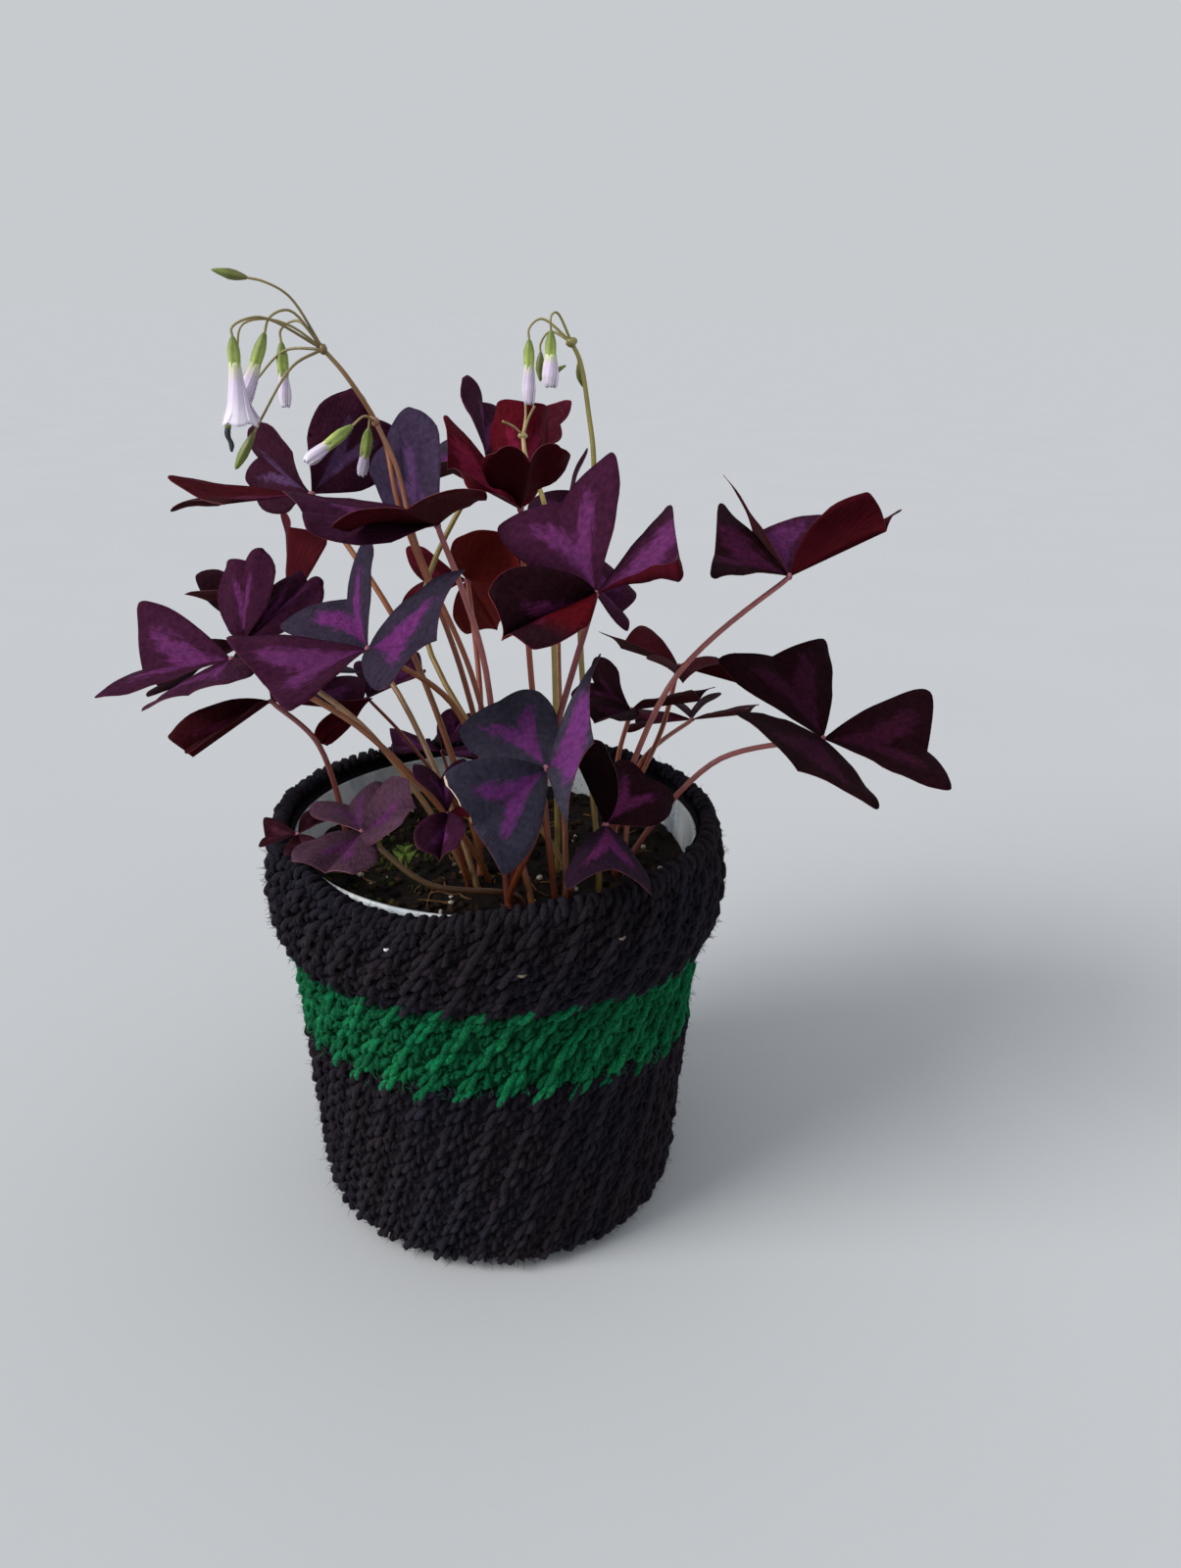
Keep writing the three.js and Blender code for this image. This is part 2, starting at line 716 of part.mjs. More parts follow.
function makeScape(scape) {
  const umbel = vec(scape.path[scape.path.length - 1]);
  const pieces = [scapeStem(scape), ball(umbel, [1.8, 1.8, 1.8])];
  for (const flower of scape.flowers) {
    pieces.push(tube([umbel, ...flower.route.map(vec)], PEDICEL_RADIUS, 4, 4));
    if (!flower.calyx) continue;
    const { tip, along } = flowerEnd(flower);
    const end = flower.calyx + (flower.bud ?? 0);
    const belly = [CALYX_RADIUS, flower.calyx * 0.4];
    const brim = [CALYX_RADIUS * 0.9, flower.calyx];
    pieces.push(placedAlong(turned([[0, -0.6], [1, -0.2], belly, brim, [0, end]], 6), tip, along));
  }
  return joined(pieces);
}

// A corolla is a hanging trumpet of five petals, each overlapping the next, with an open mouth.
function makeCorolla(flower) {
  const { tip, along } = flowerEnd(flower);
  const start = tip.clone().addScaledVector(along, flower.calyx + CLEARANCE);
  const stations = COROLLA_STATIONS;
  const around = 2 * PETALS;
  const position = [];
  for (const inset of [0, COROLLA_WALL]) {
    stations.forEach(([share, width], station) => {
      for (let i = 0; i < around; i += 1) {
        const turn = (2 * Math.PI * (i + 0.4 * station)) / around;
        const lap = 1 + 0.16 * (i % 2) * share;
        const lobe = station === stations.length - 1 && i % 2 ? -1.2 : 0;
        const radius = Math.max(1.4, flower.mouth * width) * lap - inset;
        const height = Math.max(inset && station === 0 ? COROLLA_WALL : 0, share * flower.corolla + lobe);
        position.push(radius * Math.cos(turn), radius * Math.sin(turn), height);
      }
    });
  }
  const rings = stations.length;
  const at = (shell, station, i) => (shell * rings + station) * around + (i % around);
  const capOut = position.length / 3;
  position.push(0, 0, 0, 0, 0, COROLLA_WALL);
  const index = [];
  for (let i = 0; i < around; i += 1) {
    for (let s = 0; s + 1 < rings; s += 1) {
      index.push(at(0, s, i), at(0, s, i + 1), at(0, s + 1, i));
      index.push(at(0, s, i + 1), at(0, s + 1, i + 1), at(0, s + 1, i));
      index.push(at(1, s, i), at(1, s + 1, i), at(1, s, i + 1));
      index.push(at(1, s, i + 1), at(1, s + 1, i), at(1, s + 1, i + 1));
    }
    index.push(at(0, rings - 1, i), at(0, rings - 1, i + 1), at(1, rings - 1, i));
    index.push(at(0, rings - 1, i + 1), at(1, rings - 1, i + 1), at(1, rings - 1, i));
    index.push(capOut, at(0, 0, i + 1), at(0, 0, i));
    index.push(capOut + 1, at(1, 0, i), at(1, 0, i + 1));
  }
  const geometry = new THREE.BufferGeometry();
  geometry.setAttribute("position", new THREE.Float32BufferAttribute(position, 3));
  geometry.setIndex(index);
  return placedAlong(geometry, start, along);
}

function makeSeedling([x, y, height, radius]) {
  const ground = soilHeight(x, y);
  const hub = new THREE.Vector3(x, y, ground + height);
  const foot = new THREE.Vector3(x + 1, y, ground + 1.2);
  const bend = new THREE.Vector3(x, y + 1, ground + height / 2);
  const pieces = [tube([foot, bend, hub], 0.6, 5, 3), ball(hub, [0.9, 0.9, 0.9])];
  for (let i = 0; i < 3; i += 1) {
    const turn = (2 * Math.PI * i) / 3 + x;
    const corner = (offset) => [Math.cos(turn + offset), Math.sin(turn + offset), 0.15];
    const leaflet = [corner(0.6), corner(-0.6), 12];
    pieces.push(bladeSolid(makeLeaflet({ side: radius }, leaflet), hub));
  }
  return joined(pieces);
}

// The room that the stems need in the soil, the usual gap wider than they are.
function makeStemRoom() {
  return joined([makeStems(CLEARANCE), ...SCAPES.map((scape) => scapeStem(scape, CLEARANCE))]);
}

// ---------------------------------------------------------------- the scene graph
const plant = new THREE.Group();

function addPiece(name, solid, colour, roughness) {
  const material = new THREE.MeshStandardMaterial({ color: colour, roughness, metalness: 0 });
  const mesh = new THREE.Mesh(geometryFrom(solid), material);
  mesh.name = name;
  plant.add(mesh);
}

addPiece("cover_lower_black", makeCoverLower(), COLOURS.yarnBlack, 0.95);
addPiece("cover_band_green", makeCoverBand(), COLOURS.yarnGreen, 0.95);
addPiece("cover_cuff_black", makeCoverCuff(), COLOURS.yarnBlack, 0.95);
addPiece("pot_white", makePot(), COLOURS.pot, 0.4);
addPiece("soil", makeSoil(makeStemRoom()), COLOURS.soil, 1);
addPiece("rhizome_and_leaf_stalks", makeStems(0), COLOURS.petiole, 0.5);
LEAVES.forEach((leaf) => addPiece(leaf.name, makeLeaf(leaf), COLOURS.leaf, 0.6));
SCAPES.forEach((scape) => {
  addPiece(scape.name, makeScape(scape), COLOURS.scape, 0.5);
  scape.flowers
    .filter((flower) => flower.corolla)
    .forEach((flower, i) => {
      addPiece(`${scape.name}_corolla_${i + 1}`, makeCorolla(flower), COLOURS.corolla, 0.6);
    });
});
SEEDLINGS.forEach((seedling, i) => {
  addPiece(`seedling_${i + 1}`, makeSeedling(seedling), COLOURS.seedling, 0.6);
});

export default plant;
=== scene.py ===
"""A purple shamrock in a white pot inside a crocheted cover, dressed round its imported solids.

All sizes here are millimetres, in the frame of the part, and become metres in make_piece().
"""

import math

import bmesh
import bpy
import numpy as np
from mathutils import Matrix, Vector, noise


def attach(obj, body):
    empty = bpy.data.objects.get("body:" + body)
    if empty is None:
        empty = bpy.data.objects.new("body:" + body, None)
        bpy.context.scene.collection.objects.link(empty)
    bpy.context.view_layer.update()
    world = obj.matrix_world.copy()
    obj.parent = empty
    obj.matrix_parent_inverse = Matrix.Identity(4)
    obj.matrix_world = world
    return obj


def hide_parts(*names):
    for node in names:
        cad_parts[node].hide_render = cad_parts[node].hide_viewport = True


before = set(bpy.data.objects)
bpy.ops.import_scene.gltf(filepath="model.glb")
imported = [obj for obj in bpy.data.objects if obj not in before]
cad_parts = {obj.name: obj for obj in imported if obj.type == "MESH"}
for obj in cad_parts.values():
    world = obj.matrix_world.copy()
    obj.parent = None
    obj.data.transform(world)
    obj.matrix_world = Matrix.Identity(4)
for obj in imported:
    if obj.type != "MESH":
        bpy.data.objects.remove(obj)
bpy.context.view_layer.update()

rng = np.random.default_rng(20)

MM = 0.001
TURN = 2 * math.pi
WELD = 0.001  # points nearer to each other than this become one

# ---------------------------------------------------------------- the part's own sizes
CLEARANCE = 0.35
COVER_LOW_RADIUS = 71.5
COVER_LOW_HEIGHT = 16.0
COVER_WAIST_RADIUS = 77.5
CUFF_RADIUS = 85.5
CUFF_TOP = 158.0
BAND_BOTTOM = 77.0
BAND_TOP = 107.0
BAND_RISE = 9.0
COVER_BASE_THICKNESS = 5.0
COVER_FOOT_RADIUS = 66.0
POT_RIM_RADIUS = 75.0
POT_RIM_TOP = 152.0
POT_COLLAR_BOTTOM = 128.0
POT_NECK_RADIUS = 71.8
POT_FOOT_RADIUS = 64.5
POT_WALL = 1.6
POT_FOOT = COVER_BASE_THICKNESS + CLEARANCE
DRAIN_HOLES = 6
DRAIN_RADIUS = 5.0
DRAIN_CIRCLE_RADIUS = 36.0
SOIL_TOP = 138.0
SOIL_SWELL = 2.5
ROOT_DEPTH = 8.0
HUB_RADIUS = 1.6
PETALS = 5
CROWNS = ((8, -44), (22, -30), (44, -10), (-8, -24), (-56, 4), (-16, 40))
CROWN_CHAIN = ((4, 3), (3, 0), (0, 1), (1, 2), (3, 5))


# ---------------------------------------------------------------- colours
def srgb(*levels):
    """A colour given as 0 to 255 in sRGB, as the linear values that a shader takes."""
    shares = [level / 255 for level in levels]
    return tuple(s / 12.92 if s <= 0.04045 else ((s + 0.055) / 1.055) ** 2.4 for s in shares)


def shades(*rows):
    return tuple(srgb(*row) for row in rows)


def toward(first, second, share):
    """Colours on the way from one to another."""
    return np.array(first) * (1 - share) + np.array(second) * share


# Colours of leaves: margin of the upper face, flare along its midrib, and underside.
# SLATE, STEEL and MIST: the grey-blue of their margins, and the grey in MIST's flare, is partly the
# leaf's own colour and partly painted sheen of sky light.
SLATE = shades((48, 41, 56), (98, 42, 99), (62, 14, 23))
STEEL = shades((53, 50, 63), (99, 47, 103), (62, 14, 23))
PLUM = shades((57, 24, 45), (93, 42, 88), (64, 14, 23))
MIST = shades((60, 48, 70), (86, 58, 98), (60, 14, 21))
DOVE = shades((50, 20, 35), (80, 54, 88), (58, 12, 20))
DUSK = shades((34, 14, 20), (62, 23, 48), (58, 16, 21))
WINE = shades((50, 14, 20), (78, 25, 48), (64, 15, 22))
# CRIMSON's and RUST's undersides are brightened as painted light shining through the leaf from
# behind.
CRIMSON = shades((76, 12, 23), (112, 26, 52), (80, 12, 21))
RUST = shades((84, 20, 25), (100, 28, 42), (108, 32, 30))
PALE = shades((78, 52, 68), (92, 47, 90), (84, 46, 54))
PINK = shades((112, 40, 56), (122, 50, 74), (122, 46, 58))
ROSEWOOD = shades((50, 22, 30), (70, 34, 46), (54, 20, 28))
# NIGHT is near black on every face: painted shade for a leaflet that lies in shadow.
NIGHT = shades((20, 9, 13), (30, 12, 22), (20, 8, 11))
CHERRY = shades((58, 13, 20), (64, 16, 27), (66, 14, 22))
MULBERRY = shades((30, 11, 16), (52, 18, 37), (52, 13, 19))
EMBER = shades((38, 16, 23), (92, 34, 74), (94, 20, 29))
GRAPE = shades((42, 25, 41), (88, 34, 80), (60, 14, 21))
SPROUT = shades((104, 130, 60), (140, 164, 84), (110, 136, 64))
DRY = srgb(206, 188, 166)
FLUSH = srgb(82, 12, 20)

# Colours of stalks, at their foot and at their tip.
OCHRE = shades((122, 68, 32), (152, 92, 56))
TAN = shades((132, 94, 54), (164, 126, 96))
BRICK = shades((120, 58, 30), (150, 66, 48))
MAROON = shades((100, 40, 30), (104, 32, 42))
ROSE = shades((128, 62, 46), (166, 92, 94))
OLIVE = shades((122, 92, 44), (150, 128, 60))
UMBER = shades((92, 50, 32), (118, 94, 56))

# Colours of flowers.
LEAFY, LEAFY_PALE, DULL = shades((104, 122, 46), (164, 182, 96), (106, 104, 56))
LILAC, LILAC_WHITE = shades((212, 192, 222), (230, 222, 238))
GREENISH, WITHERED = shades((206, 214, 160), (46, 48, 54))

# ---------------------------------------------------------------- the plant
# One row a leaf: name, hub, side, crown, a point that the stalk passes, its leaflets as
# (left corner, right corner, sink, colours, bend), and the colours of its stalk. sink is how many
# degrees the midrib lies below the corners, and bend is how far each half bulges, in hundredths.
LEAVES = (
    ("leaf_01", (-89, -15, 220), 46, 3, (-44, -32, 200), (
        ((-41, -10, -10), (-35, 26, 14), 17, PLUM, 3),
        ((9, -43, 5), (-19, -41, -4), 0, PLUM, 3),
        ((14, 40, -6), (40, 18, -10), 6, SLATE, 5)), OCHRE),
    ("leaf_02", (-91, 15, 217), 39, 3, (-46, -8, 192), (
        ((-10, 30, 23), (6, 25, 31), 0, PLUM, 4),
        ((16, 30, 20), (28, 22, 18), 0, PLUM, 6),
        ((-30, -22, -14), (-38, 6, -8), 10, DUSK, 5)), TAN),
    ("leaf_03", (-83, 60, 221), 44, 3, (-44, 30, 204), (
        ((22, -24, 30), (-4, 29, 32), 10, WINE, 4),
        ((-42, 12, 2), (-38, 20, 8), 24, DUSK, 5),
        ((-24, 36, -5), (4, 40, -6), 14, SLATE, 5)), TAN),
    ("leaf_04", (-64, 20, 270), 48, 3, (-30, -6, 222), (
        ((-46, -12, 8), (-47, -12, -5), 35, WINE, 5),
        ((-29, 38, -2), (-26, 36, 19), 3, DOVE, 4),
        ((11, 32, 33), (29, 35, 15), 0, DOVE, 5)), OCHRE),
    ("leaf_05", (-18, -30, 268), 48, 0, (-4, -24, 222), (
        ((-35, -32, 3), (-47, -5, 11), 0, PLUM, 4),
        ((-24, 41, 9), (-9, 33, 34), -4, MIST, 4),
        ((15, -42, 17), (-29, -38, 6), 0, WINE, 5)), ROSE),
    ("leaf_06", (-40, -45, 232), 46, 0, (-14, -25, 206), (
        ((-19, -42, -7), (-45, 8, 2), 8, PLUM, 4),
        ((-33, 32, 0), (-1, 34, 30), 15, SLATE, 4),
        ((31, -17, 30), (10, -45, 0), 8, SLATE, 6)), OCHRE),
    ("leaf_07", (-82, 10, 197), 38, 4, (-66, 7, 182), (
        ((-25, -28, -10), (-36, -12, -9), 12, WINE, 5),
        ((0, 36, 2), (24, 27, 6), 14, PLUM, 5),
        ((30, 20, 2), (34, -6, 2), 14, PLUM, 5)), ROSE),
    ("leaf_08", (9, 10, 267), 44, 1, (12, -12, 215), (
        ((-17, -39, 12), (-26, 17, 30), 14, CRIMSON, 6),
        ((12, -34, 25), (-8, -36, 24), 5, WINE, 6),
        ((-8, 29, 32), (11, 31, 30), -14, CRIMSON, 5)), BRICK),
    ("leaf_09", (-3, 50, 278), 42, 1, (-28, 36, 222), (
        ((-8, 29, 30), (7, 40, 12), 2, PLUM, 5),
        ((33, 15, 22), (28, 31, 4), 0, PINK, 3),
        ((-38, 20, -8), (-22, 38, 2), 14, SLATE, 5)), OLIVE),
    ("leaf_10", (31, -50, 251), 47, 0, (20, -49, 210), (
        ((-31, 33, 14), (7, 24, 40), 6, PLUM, 4),
        ((26, 32, 23), (22, -40, 9), 10, PLUM, 6),
        ((-20, -42, -6), (-33, -32, 8), 14, EMBER, 7)), MAROON),
    ("leaf_11", (24, 45, 247), 42, 1, (24, 30, 205), (
        ((-10, 39, 11), (12, 18, 36), 14, PLUM, 5),
        ((32, 16, -20), (26, -14, -28), 8, PLUM, 5),
        ((6, -36, -12), (-13, -38, -2), 4, RUST, 5)), OCHRE),
    ("leaf_12", (-11, 60, 231), 40, 3, (-6, 20, 195), (
        ((27, -29, 8), (-4, -33, 22), -24, RUST, 5),
        ((-29, 22, -17), (-26, 29, 7), 14, CRIMSON, 5),
        ((-2, 26, -28), (18, 30, -16), 14, RUST, 5)), BRICK),
    ("leaf_13", (104, 0, 246), 44, 2, (62, -14, 212), (
        ((-33, -28, 4), (-18, 30, 18), 10, DUSK, 6),
        ((-25, 14, 35), (22, 36, 16), 28, PLUM, 4),
        ((37, -8, 26), (18, -26, 36), 14, WINE, 5)), ROSE),
    ("leaf_14", (116, -20, 192), 48, 2, (80, -10, 180), (
        ((-38, 12, 25), (9, 40, 25), 2, MULBERRY, 4),
        ((43, 17, 13), (36, -31, -8), 10, MULBERRY, 4),
        ((7, -47, -8), (-37, -22, 18), 8, MULBERRY, 4)), ROSE),
    ("leaf_15", (78, 75, 191), 38, 2, (70, 58, 170), (
        ((-34, -3, 15), (-11, 35, 9), 16, CHERRY, 5),
        ((12, -34, 12), (-18, -31, 12), 16, CHERRY, 5),
        ((36, 8, -4), (32, -17, 2), 12, WINE, 5)), BRICK),
    ("leaf_16", (56, 55, 178), 36, 2, (50, 44, 162), (
        ((-23, 26, -2), (-12, 30, 14), 10, DUSK, 6),
        ((35, 2, 9), (18, -26, 16), 8, DUSK, 5),
        ((-8, -33, 6), (-26, -21, 10), 8, DUSK, 5)), BRICK),
    ("leaf_17", (86, 80, 165), 36, 2, (58, 38, 160), (
        ((-30, -18, 1), (-20, 28, -4), 6, WINE, 5),
        ((33, 14, 2), (16, -28, 14), 6, WINE, 5),
        ((-8, 30, 0), (16, 28, 3), 14, DUSK, 5)), BRICK),
    ("leaf_18", (15, -75, 203), 39, 0, (13, -66, 180), (
        ((-27, 27, 2), (0, 36, 13), -10, STEEL, 4),
        ((16, 8, 34), (4, -38, -2), 10, STEEL, 9),
        ((-13, -30, -21), (-31, -22, 6), 4, STEEL, 4)), BRICK),
    ("leaf_19", (36, -50, 173), 38, 1, (30, -42, 158), (
        ((7, 36, 9), (27, 26, -3), -4, EMBER, 5),
        ((12, -34, -9), (-15, -34, -6), -12, GRAPE, 4),
        # this leaflet is painted NIGHT, nearly black, as painted shade
        ((-2, -16, 34), (-10, 12, 35), 14, NIGHT, 5)), BRICK),
    ("leaf_20", (-45, -45, 169), 36, 0, (-24, -50, 152), (
        ((-21, 29, -2), (2, 36, 4), 8, PALE, 3),
        ((14, -14, 21), (16, -29, 15), 8, PALE, 3),
        ((2, -35, 2), (-18, -30, 4), 4, PALE, 4)), UMBER),
    ("leaf_21", (-16, -58, 181), 28, 3, (-14, -34, 160), (
        ((-12, 24, 8), (5, 26, 9), 14, PLUM, 5),
        ((24, -10, 10), (22, 12, 12), 10, PLUM, 5),
        ((5, -31, 1), (-9, -30, 1), 14, PLUM, 5)), BRICK),
    ("leaf_22", (-68, -35, 164), 14, 4, (-62, -26, 150), (
        ((-11, -7, -1), (-12, 6, 4), 14, ROSEWOOD, 5),
        ((2, 12, 3), (11, 7, 3), 14, ROSEWOOD, 5),
        ((9, -9, 0), (-2, -13, -1), 14, ROSEWOOD, 5)), OLIVE),
    ("leaf_23", (-23, 60, 158), 26, 5, (-20, 52, 150), (
        ((4, 22, 12), (14, 20, 10), 6, PLUM, 5),
        ((22, -8, 4), (8, -22, 6), 8, PLUM, 5),
        ((-18, -16, 6), (-20, 10, 6), 8, PLUM, 5)), BRICK),
    ("leaf_24", (-50, 35, 190), 28, 5, (-36, 38, 172), (
        ((-12, -22, -11), (-17, -14, -11), 5, CRIMSON, 5),
        ((-6, 26, 8), (14, 23, 6), 14, PLUM, 5),
        ((18, 14, 14), (22, -8, 12), 10, PLUM, 5)), BRICK),
)

# Leaflets with a mark of their own, by leaf and leaflet, and the half that has it.
MARKS = {
    ("leaf_18", 2): {"torn": 1},
    ("leaf_10", 1): {"curled": 1},
    ("leaf_10", 2): {"flushed": 0},
}

# One row a flower stalk: name, foot, path, its flowers, and its colours from foot to tip. A flower
# is (route of its short stalk, calyx length, bud length, corolla length, mouth radius).
SCAPES = (
    ("flower_stalk_1", (2, -14),
     ((-12, -12, 215), (-31, -15, 272), (-36, -8, 293), (-46, -11, 311), (-53, -10, 319)), (
        (((-62, -12, 334), (-69, -14, 338), (-74, -15, 339)), 7, 3, 0, 0),
        (((-62, -13, 330), (-68, -14, 328), (-70, -14, 323)), 9, 0, 15, 3),
        (((-61, -5, 327), (-67, -2, 324), (-67, -2, 320)), 8, 0, 11, 2.2),
        (((-70, -19, 328), (-78, -22, 325), (-78, -22, 322)), 7, 0, 18, 5.5),
        (((-62, -14, 314), (-72, -17, 299), (-75, -17, 294)), 11, 2, 0, 0),
        (((-66, -4, 318), (-76, 0, 309), (-79, 1, 306)), 3, 4, 0, 0)),
     shades((120, 60, 34), (140, 74, 46), (120, 100, 62))),
    ("flower_stalk_2", (6, -22),
     ((-8, -20, 215), (-25, -24, 260), (-31, -20, 285), (-37, -18, 298)), (
        (((-40, -21, 300), (-44, -23, 297)), 9, 0, 9, 2.4),
        (((-39, -13, 299), (-40, -11, 295)), 8, 0, 9, 2)),
     shades((120, 60, 34), (140, 74, 46), (140, 96, 70))),
    ("flower_stalk_3", (36, -30),
     ((30, 2, 230), (34, 5, 282), (32, 8, 300), (29, 10, 316), (26, 10, 322)), (
        (((21, 8, 331), (19, 6, 330), (19, 6, 325)), 7, 0, 10, 3.2),
        (((16, 11, 329), (12, 11, 326), (12, 11, 322)), 7, 0, 13, 2.6),
        (((19, 15, 325), (16, 17, 321), (16, 17, 318)), 7, 2, 0, 0),
        (((28, 14, 319), (29, 16, 315)), 7, 2, 0, 0)),
     shades((128, 96, 44), (134, 122, 56), (136, 128, 70))),
    ("flower_stalk_4", (22, -14),
     ((20, 2, 235), (17, 11, 270), (11, 15, 284), (10, 18, 291)), (
        (((11, 20, 297), (11, 22, 302)), 0, 0, 0, 0),
        (((12, 17, 297), (14, 16, 301)), 0, 0, 0, 0),
        (((7, 16, 294), (3, 14, 296)), 0, 0, 0, 0)),
     shades((140, 110, 56), (170, 150, 80), (184, 164, 110))),
)

# Small green clover seedlings on the soil: x, y, height of the leaf, radius of the leaf.
SEEDLINGS = ((-46, 14, 8, 6), (-34, -12, 7, 5))


# ---------------------------------------------------------------- building meshes
class Shape:
    """Gathers points, faces and values for one piece."""

    def __init__(self):
        self.points, self.faces, self.materials, self.values = [], [], [], {}
        self.count = 0

    def add(self, points, faces, material=0, **values):
        """Adds faces of one material, or of one material each. A value is for all points alike or
        has a row a point."""
        points = np.asarray(points, float).reshape(-1, 3)
        self.points.append(points)
        self.faces.extend([[i + self.count for i in face] for face in faces])
        self.materials.extend(np.broadcast_to(material, len(faces)).tolist())
        for key, value in values.items():
            value = np.asarray(value, float)
            each = value.ndim and value.shape[0] == len(points)
            full = value if each else np.broadcast_to(value, (len(points), *value.shape))
            self.values.setdefault(key, []).append(full)
        self.count += len(points)


def put_in_scene(name, data):
    made = bpy.data.objects.new(name, data)
    bpy.context.scene.collection.objects.link(made)
    return made


def add_values(mesh, key, data):
    """Gives the points of a mesh a number, a place in a map or a colour each."""
    if data.ndim == 1:
        mesh.attributes.new(key, "FLOAT", "POINT").data.foreach_set("value", data)
    elif data.shape[1] == 2:
        corners = np.empty(len(mesh.loops), dtype=np.int32)
        mesh.loops.foreach_get("vertex_index", corners)
        mesh.uv_layers.new(name=key).data.foreach_set("uv", data[corners].ravel())
    else:
        full = np.concatenate([data, np.ones((len(data), 1))], axis=1)
        mesh.attributes.new(key, "FLOAT_COLOR", "POINT").data.foreach_set("color", full.ravel())


def make_piece(name, shape, materials, stands_for=None, smooth=True, weld=0.0):
    mesh = bpy.data.meshes.new(name)
    mesh.from_pydata((np.concatenate(shape.points) * MM).tolist(), [], shape.faces)
    for material in materials:
        mesh.materials.append(material)
    mesh.polygons.foreach_set("material_index", shape.materials)
    mesh.polygons.foreach_set("use_smooth", [smooth] * len(mesh.polygons))
    for key, parts in shape.values.items():
        add_values(mesh, key, np.concatenate(parts))
    piece = put_in_scene(name, mesh)
    if weld:
        work = bmesh.new()
        work.from_mesh(mesh)
        bmesh.ops.remove_doubles(work, verts=work.verts, dist=weld * MM)
        bmesh.ops.recalc_face_normals(work, faces=work.faces)
        work.to_mesh(mesh)
        work.free()
    mesh.validate()
    mesh.update()
    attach(piece, "root")
    if stands_for:
        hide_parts(stands_for)
    return piece


def unit(vectors):
    return vectors / np.maximum(np.linalg.norm(vectors, axis=-1, keepdims=True), 1e-12)


def turns_of(count):
    """Evenly spaced turns, once round."""
    return TURN * np.arange(count) / count


def spline(points, count):
    """Points of a smooth centripetal curve through the given ones, evenly shared between them."""
    given = np.asarray(points, float)
    ends = [2 * given[0] - given[1], *given, 2 * given[-1] - given[-2]]
    result = []
    for u in np.linspace(0, len(given) - 1, count):
        i = min(int(u), len(given) - 2)
        w = u - i
        p0, p1, p2, p3 = ends[i : i + 4]
        pairs = ((p0, p1), (p1, p2), (p2, p3))
        t0, t1, t2 = (max(np.linalg.norm(b - a) ** 0.5, 1e-4) for a, b in pairs)
        m1 = ((p1 - p0) / t0 - (p2 - p0) / (t0 + t1) + (p2 - p1) / t1) * t1
        m2 = ((p2 - p1) / t1 - (p3 - p1) / (t1 + t2) + (p3 - p2) / t2) * t1
        c2 = -3 * p1 + 3 * p2 - 2 * m1 - m2
        c3 = 2 * p1 - 2 * p2 + m1 + m2
        result.append(p1 + m1 * w + c2 * w**2 + c3 * w**3)
    return np.array(result)


def axes_across(paths, ups):
    """Two directions across many paths at each of their stations, the second on the side of ups."""
    tangents = unit(np.gradient(paths, axis=1))
    across = unit(np.cross(tangents, ups))
    return across, np.cross(across, tangents)


def sweep(paths, ups, radii, sides):
    """Closed tubes along many paths at once, shaped (strand, station, xyz), as points and faces."""
    count, stations, _ = paths.shape
    across, raised = (axis[:, :, None] for axis in axes_across(paths, ups))
    turns = turns_of(sides)[:, None]
    radius = np.broadcast_to(radii, (count, stations))[..., None, None]
    points = paths[:, :, None] + radius * (np.cos(turns) * across + np.sin(turns) * raised)
    step = np.arange(sides)
    after = (step + 1) % sides
    ring = (np.arange(stations - 1) * sides)[:, None]
    corners = [ring + step, ring + after, ring + sides + after, ring + sides + step]
    quads = np.stack(corners, -1).reshape(-1, 4)
    starts = (np.arange(count) * stations * sides)[:, None]
    faces = (starts[..., None] + quads[None]).reshape(-1, 4).tolist()
    first = (starts + step[::-1]).tolist()
    last = (starts + (stations - 1) * sides + step).tolist()
    return points.reshape(-1, 3), faces + first + last


def stem(points, radii, count, sides):
    """One closed round tube through points, with radii spread evenly from its start to its end."""
    path = spline(points, count)
    ups = np.zeros_like(path)
    tangents = unit(np.gradient(path, axis=0))
    up = unit(np.cross(tangents[0], (0.31, 0.95, 0.11)))
    for i, tangent in enumerate(tangents):
        up = unit(up - tangent * up.dot(tangent))
        ups[i] = up
    radius = np.interp(np.linspace(0, 1, count), np.linspace(0, 1, len(radii)), radii)
    return sweep(path[None], ups[None], radius[None], sides)


def revolve(profile, segments, closed=False):
    """Points and faces of a profile of (radius, height) turned about Z."""
    radius, height = np.asarray(profile, float).T[..., None]
    turns = turns_of(segments)
    places = [radius * np.sin(turns), -radius * np.cos(turns), np.repeat(height, segments, 1)]
    here = np.arange(len(profile) * segments).reshape(-1, segments)
    above = np.roll(here, -1, 0)
    if not closed:
        here, above = here[:-1], above[:-1]
    corners = [here, np.roll(here, -1, 1), np.roll(above, -1, 1), above]
    return np.stack(places, -1).reshape(-1, 3), np.stack(corners, -1).reshape(-1, 4).tolist()


def sheet(top, bottom, corners=(0, 1, 2, 3)):
    """A thin closed sheet between two grids of points: its points, and the faces of its top, of its
    bottom and of its rim. corners is the order in which a face of the top goes round."""
    rows, columns = top.shape[:2]
    count = rows * columns
    index = np.arange(count).reshape(rows, columns)
    cell = [index[:-1, :-1], index[:-1, 1:], index[1:, 1:], index[1:, :-1]]
    quads = np.stack(cell, -1).reshape(-1, 4)[:, corners]
    outline = np.concatenate([index[0], index[1:, -1], index[-1, -2::-1], index[-2:0:-1, 0]])
    following = np.roll(outline, -1)
    rim = np.stack([outline, outline + count, following + count, following], -1)
    return np.concatenate([top, bottom]).reshape(-1, 3), (quads, quads[:, ::-1] + count, rim)


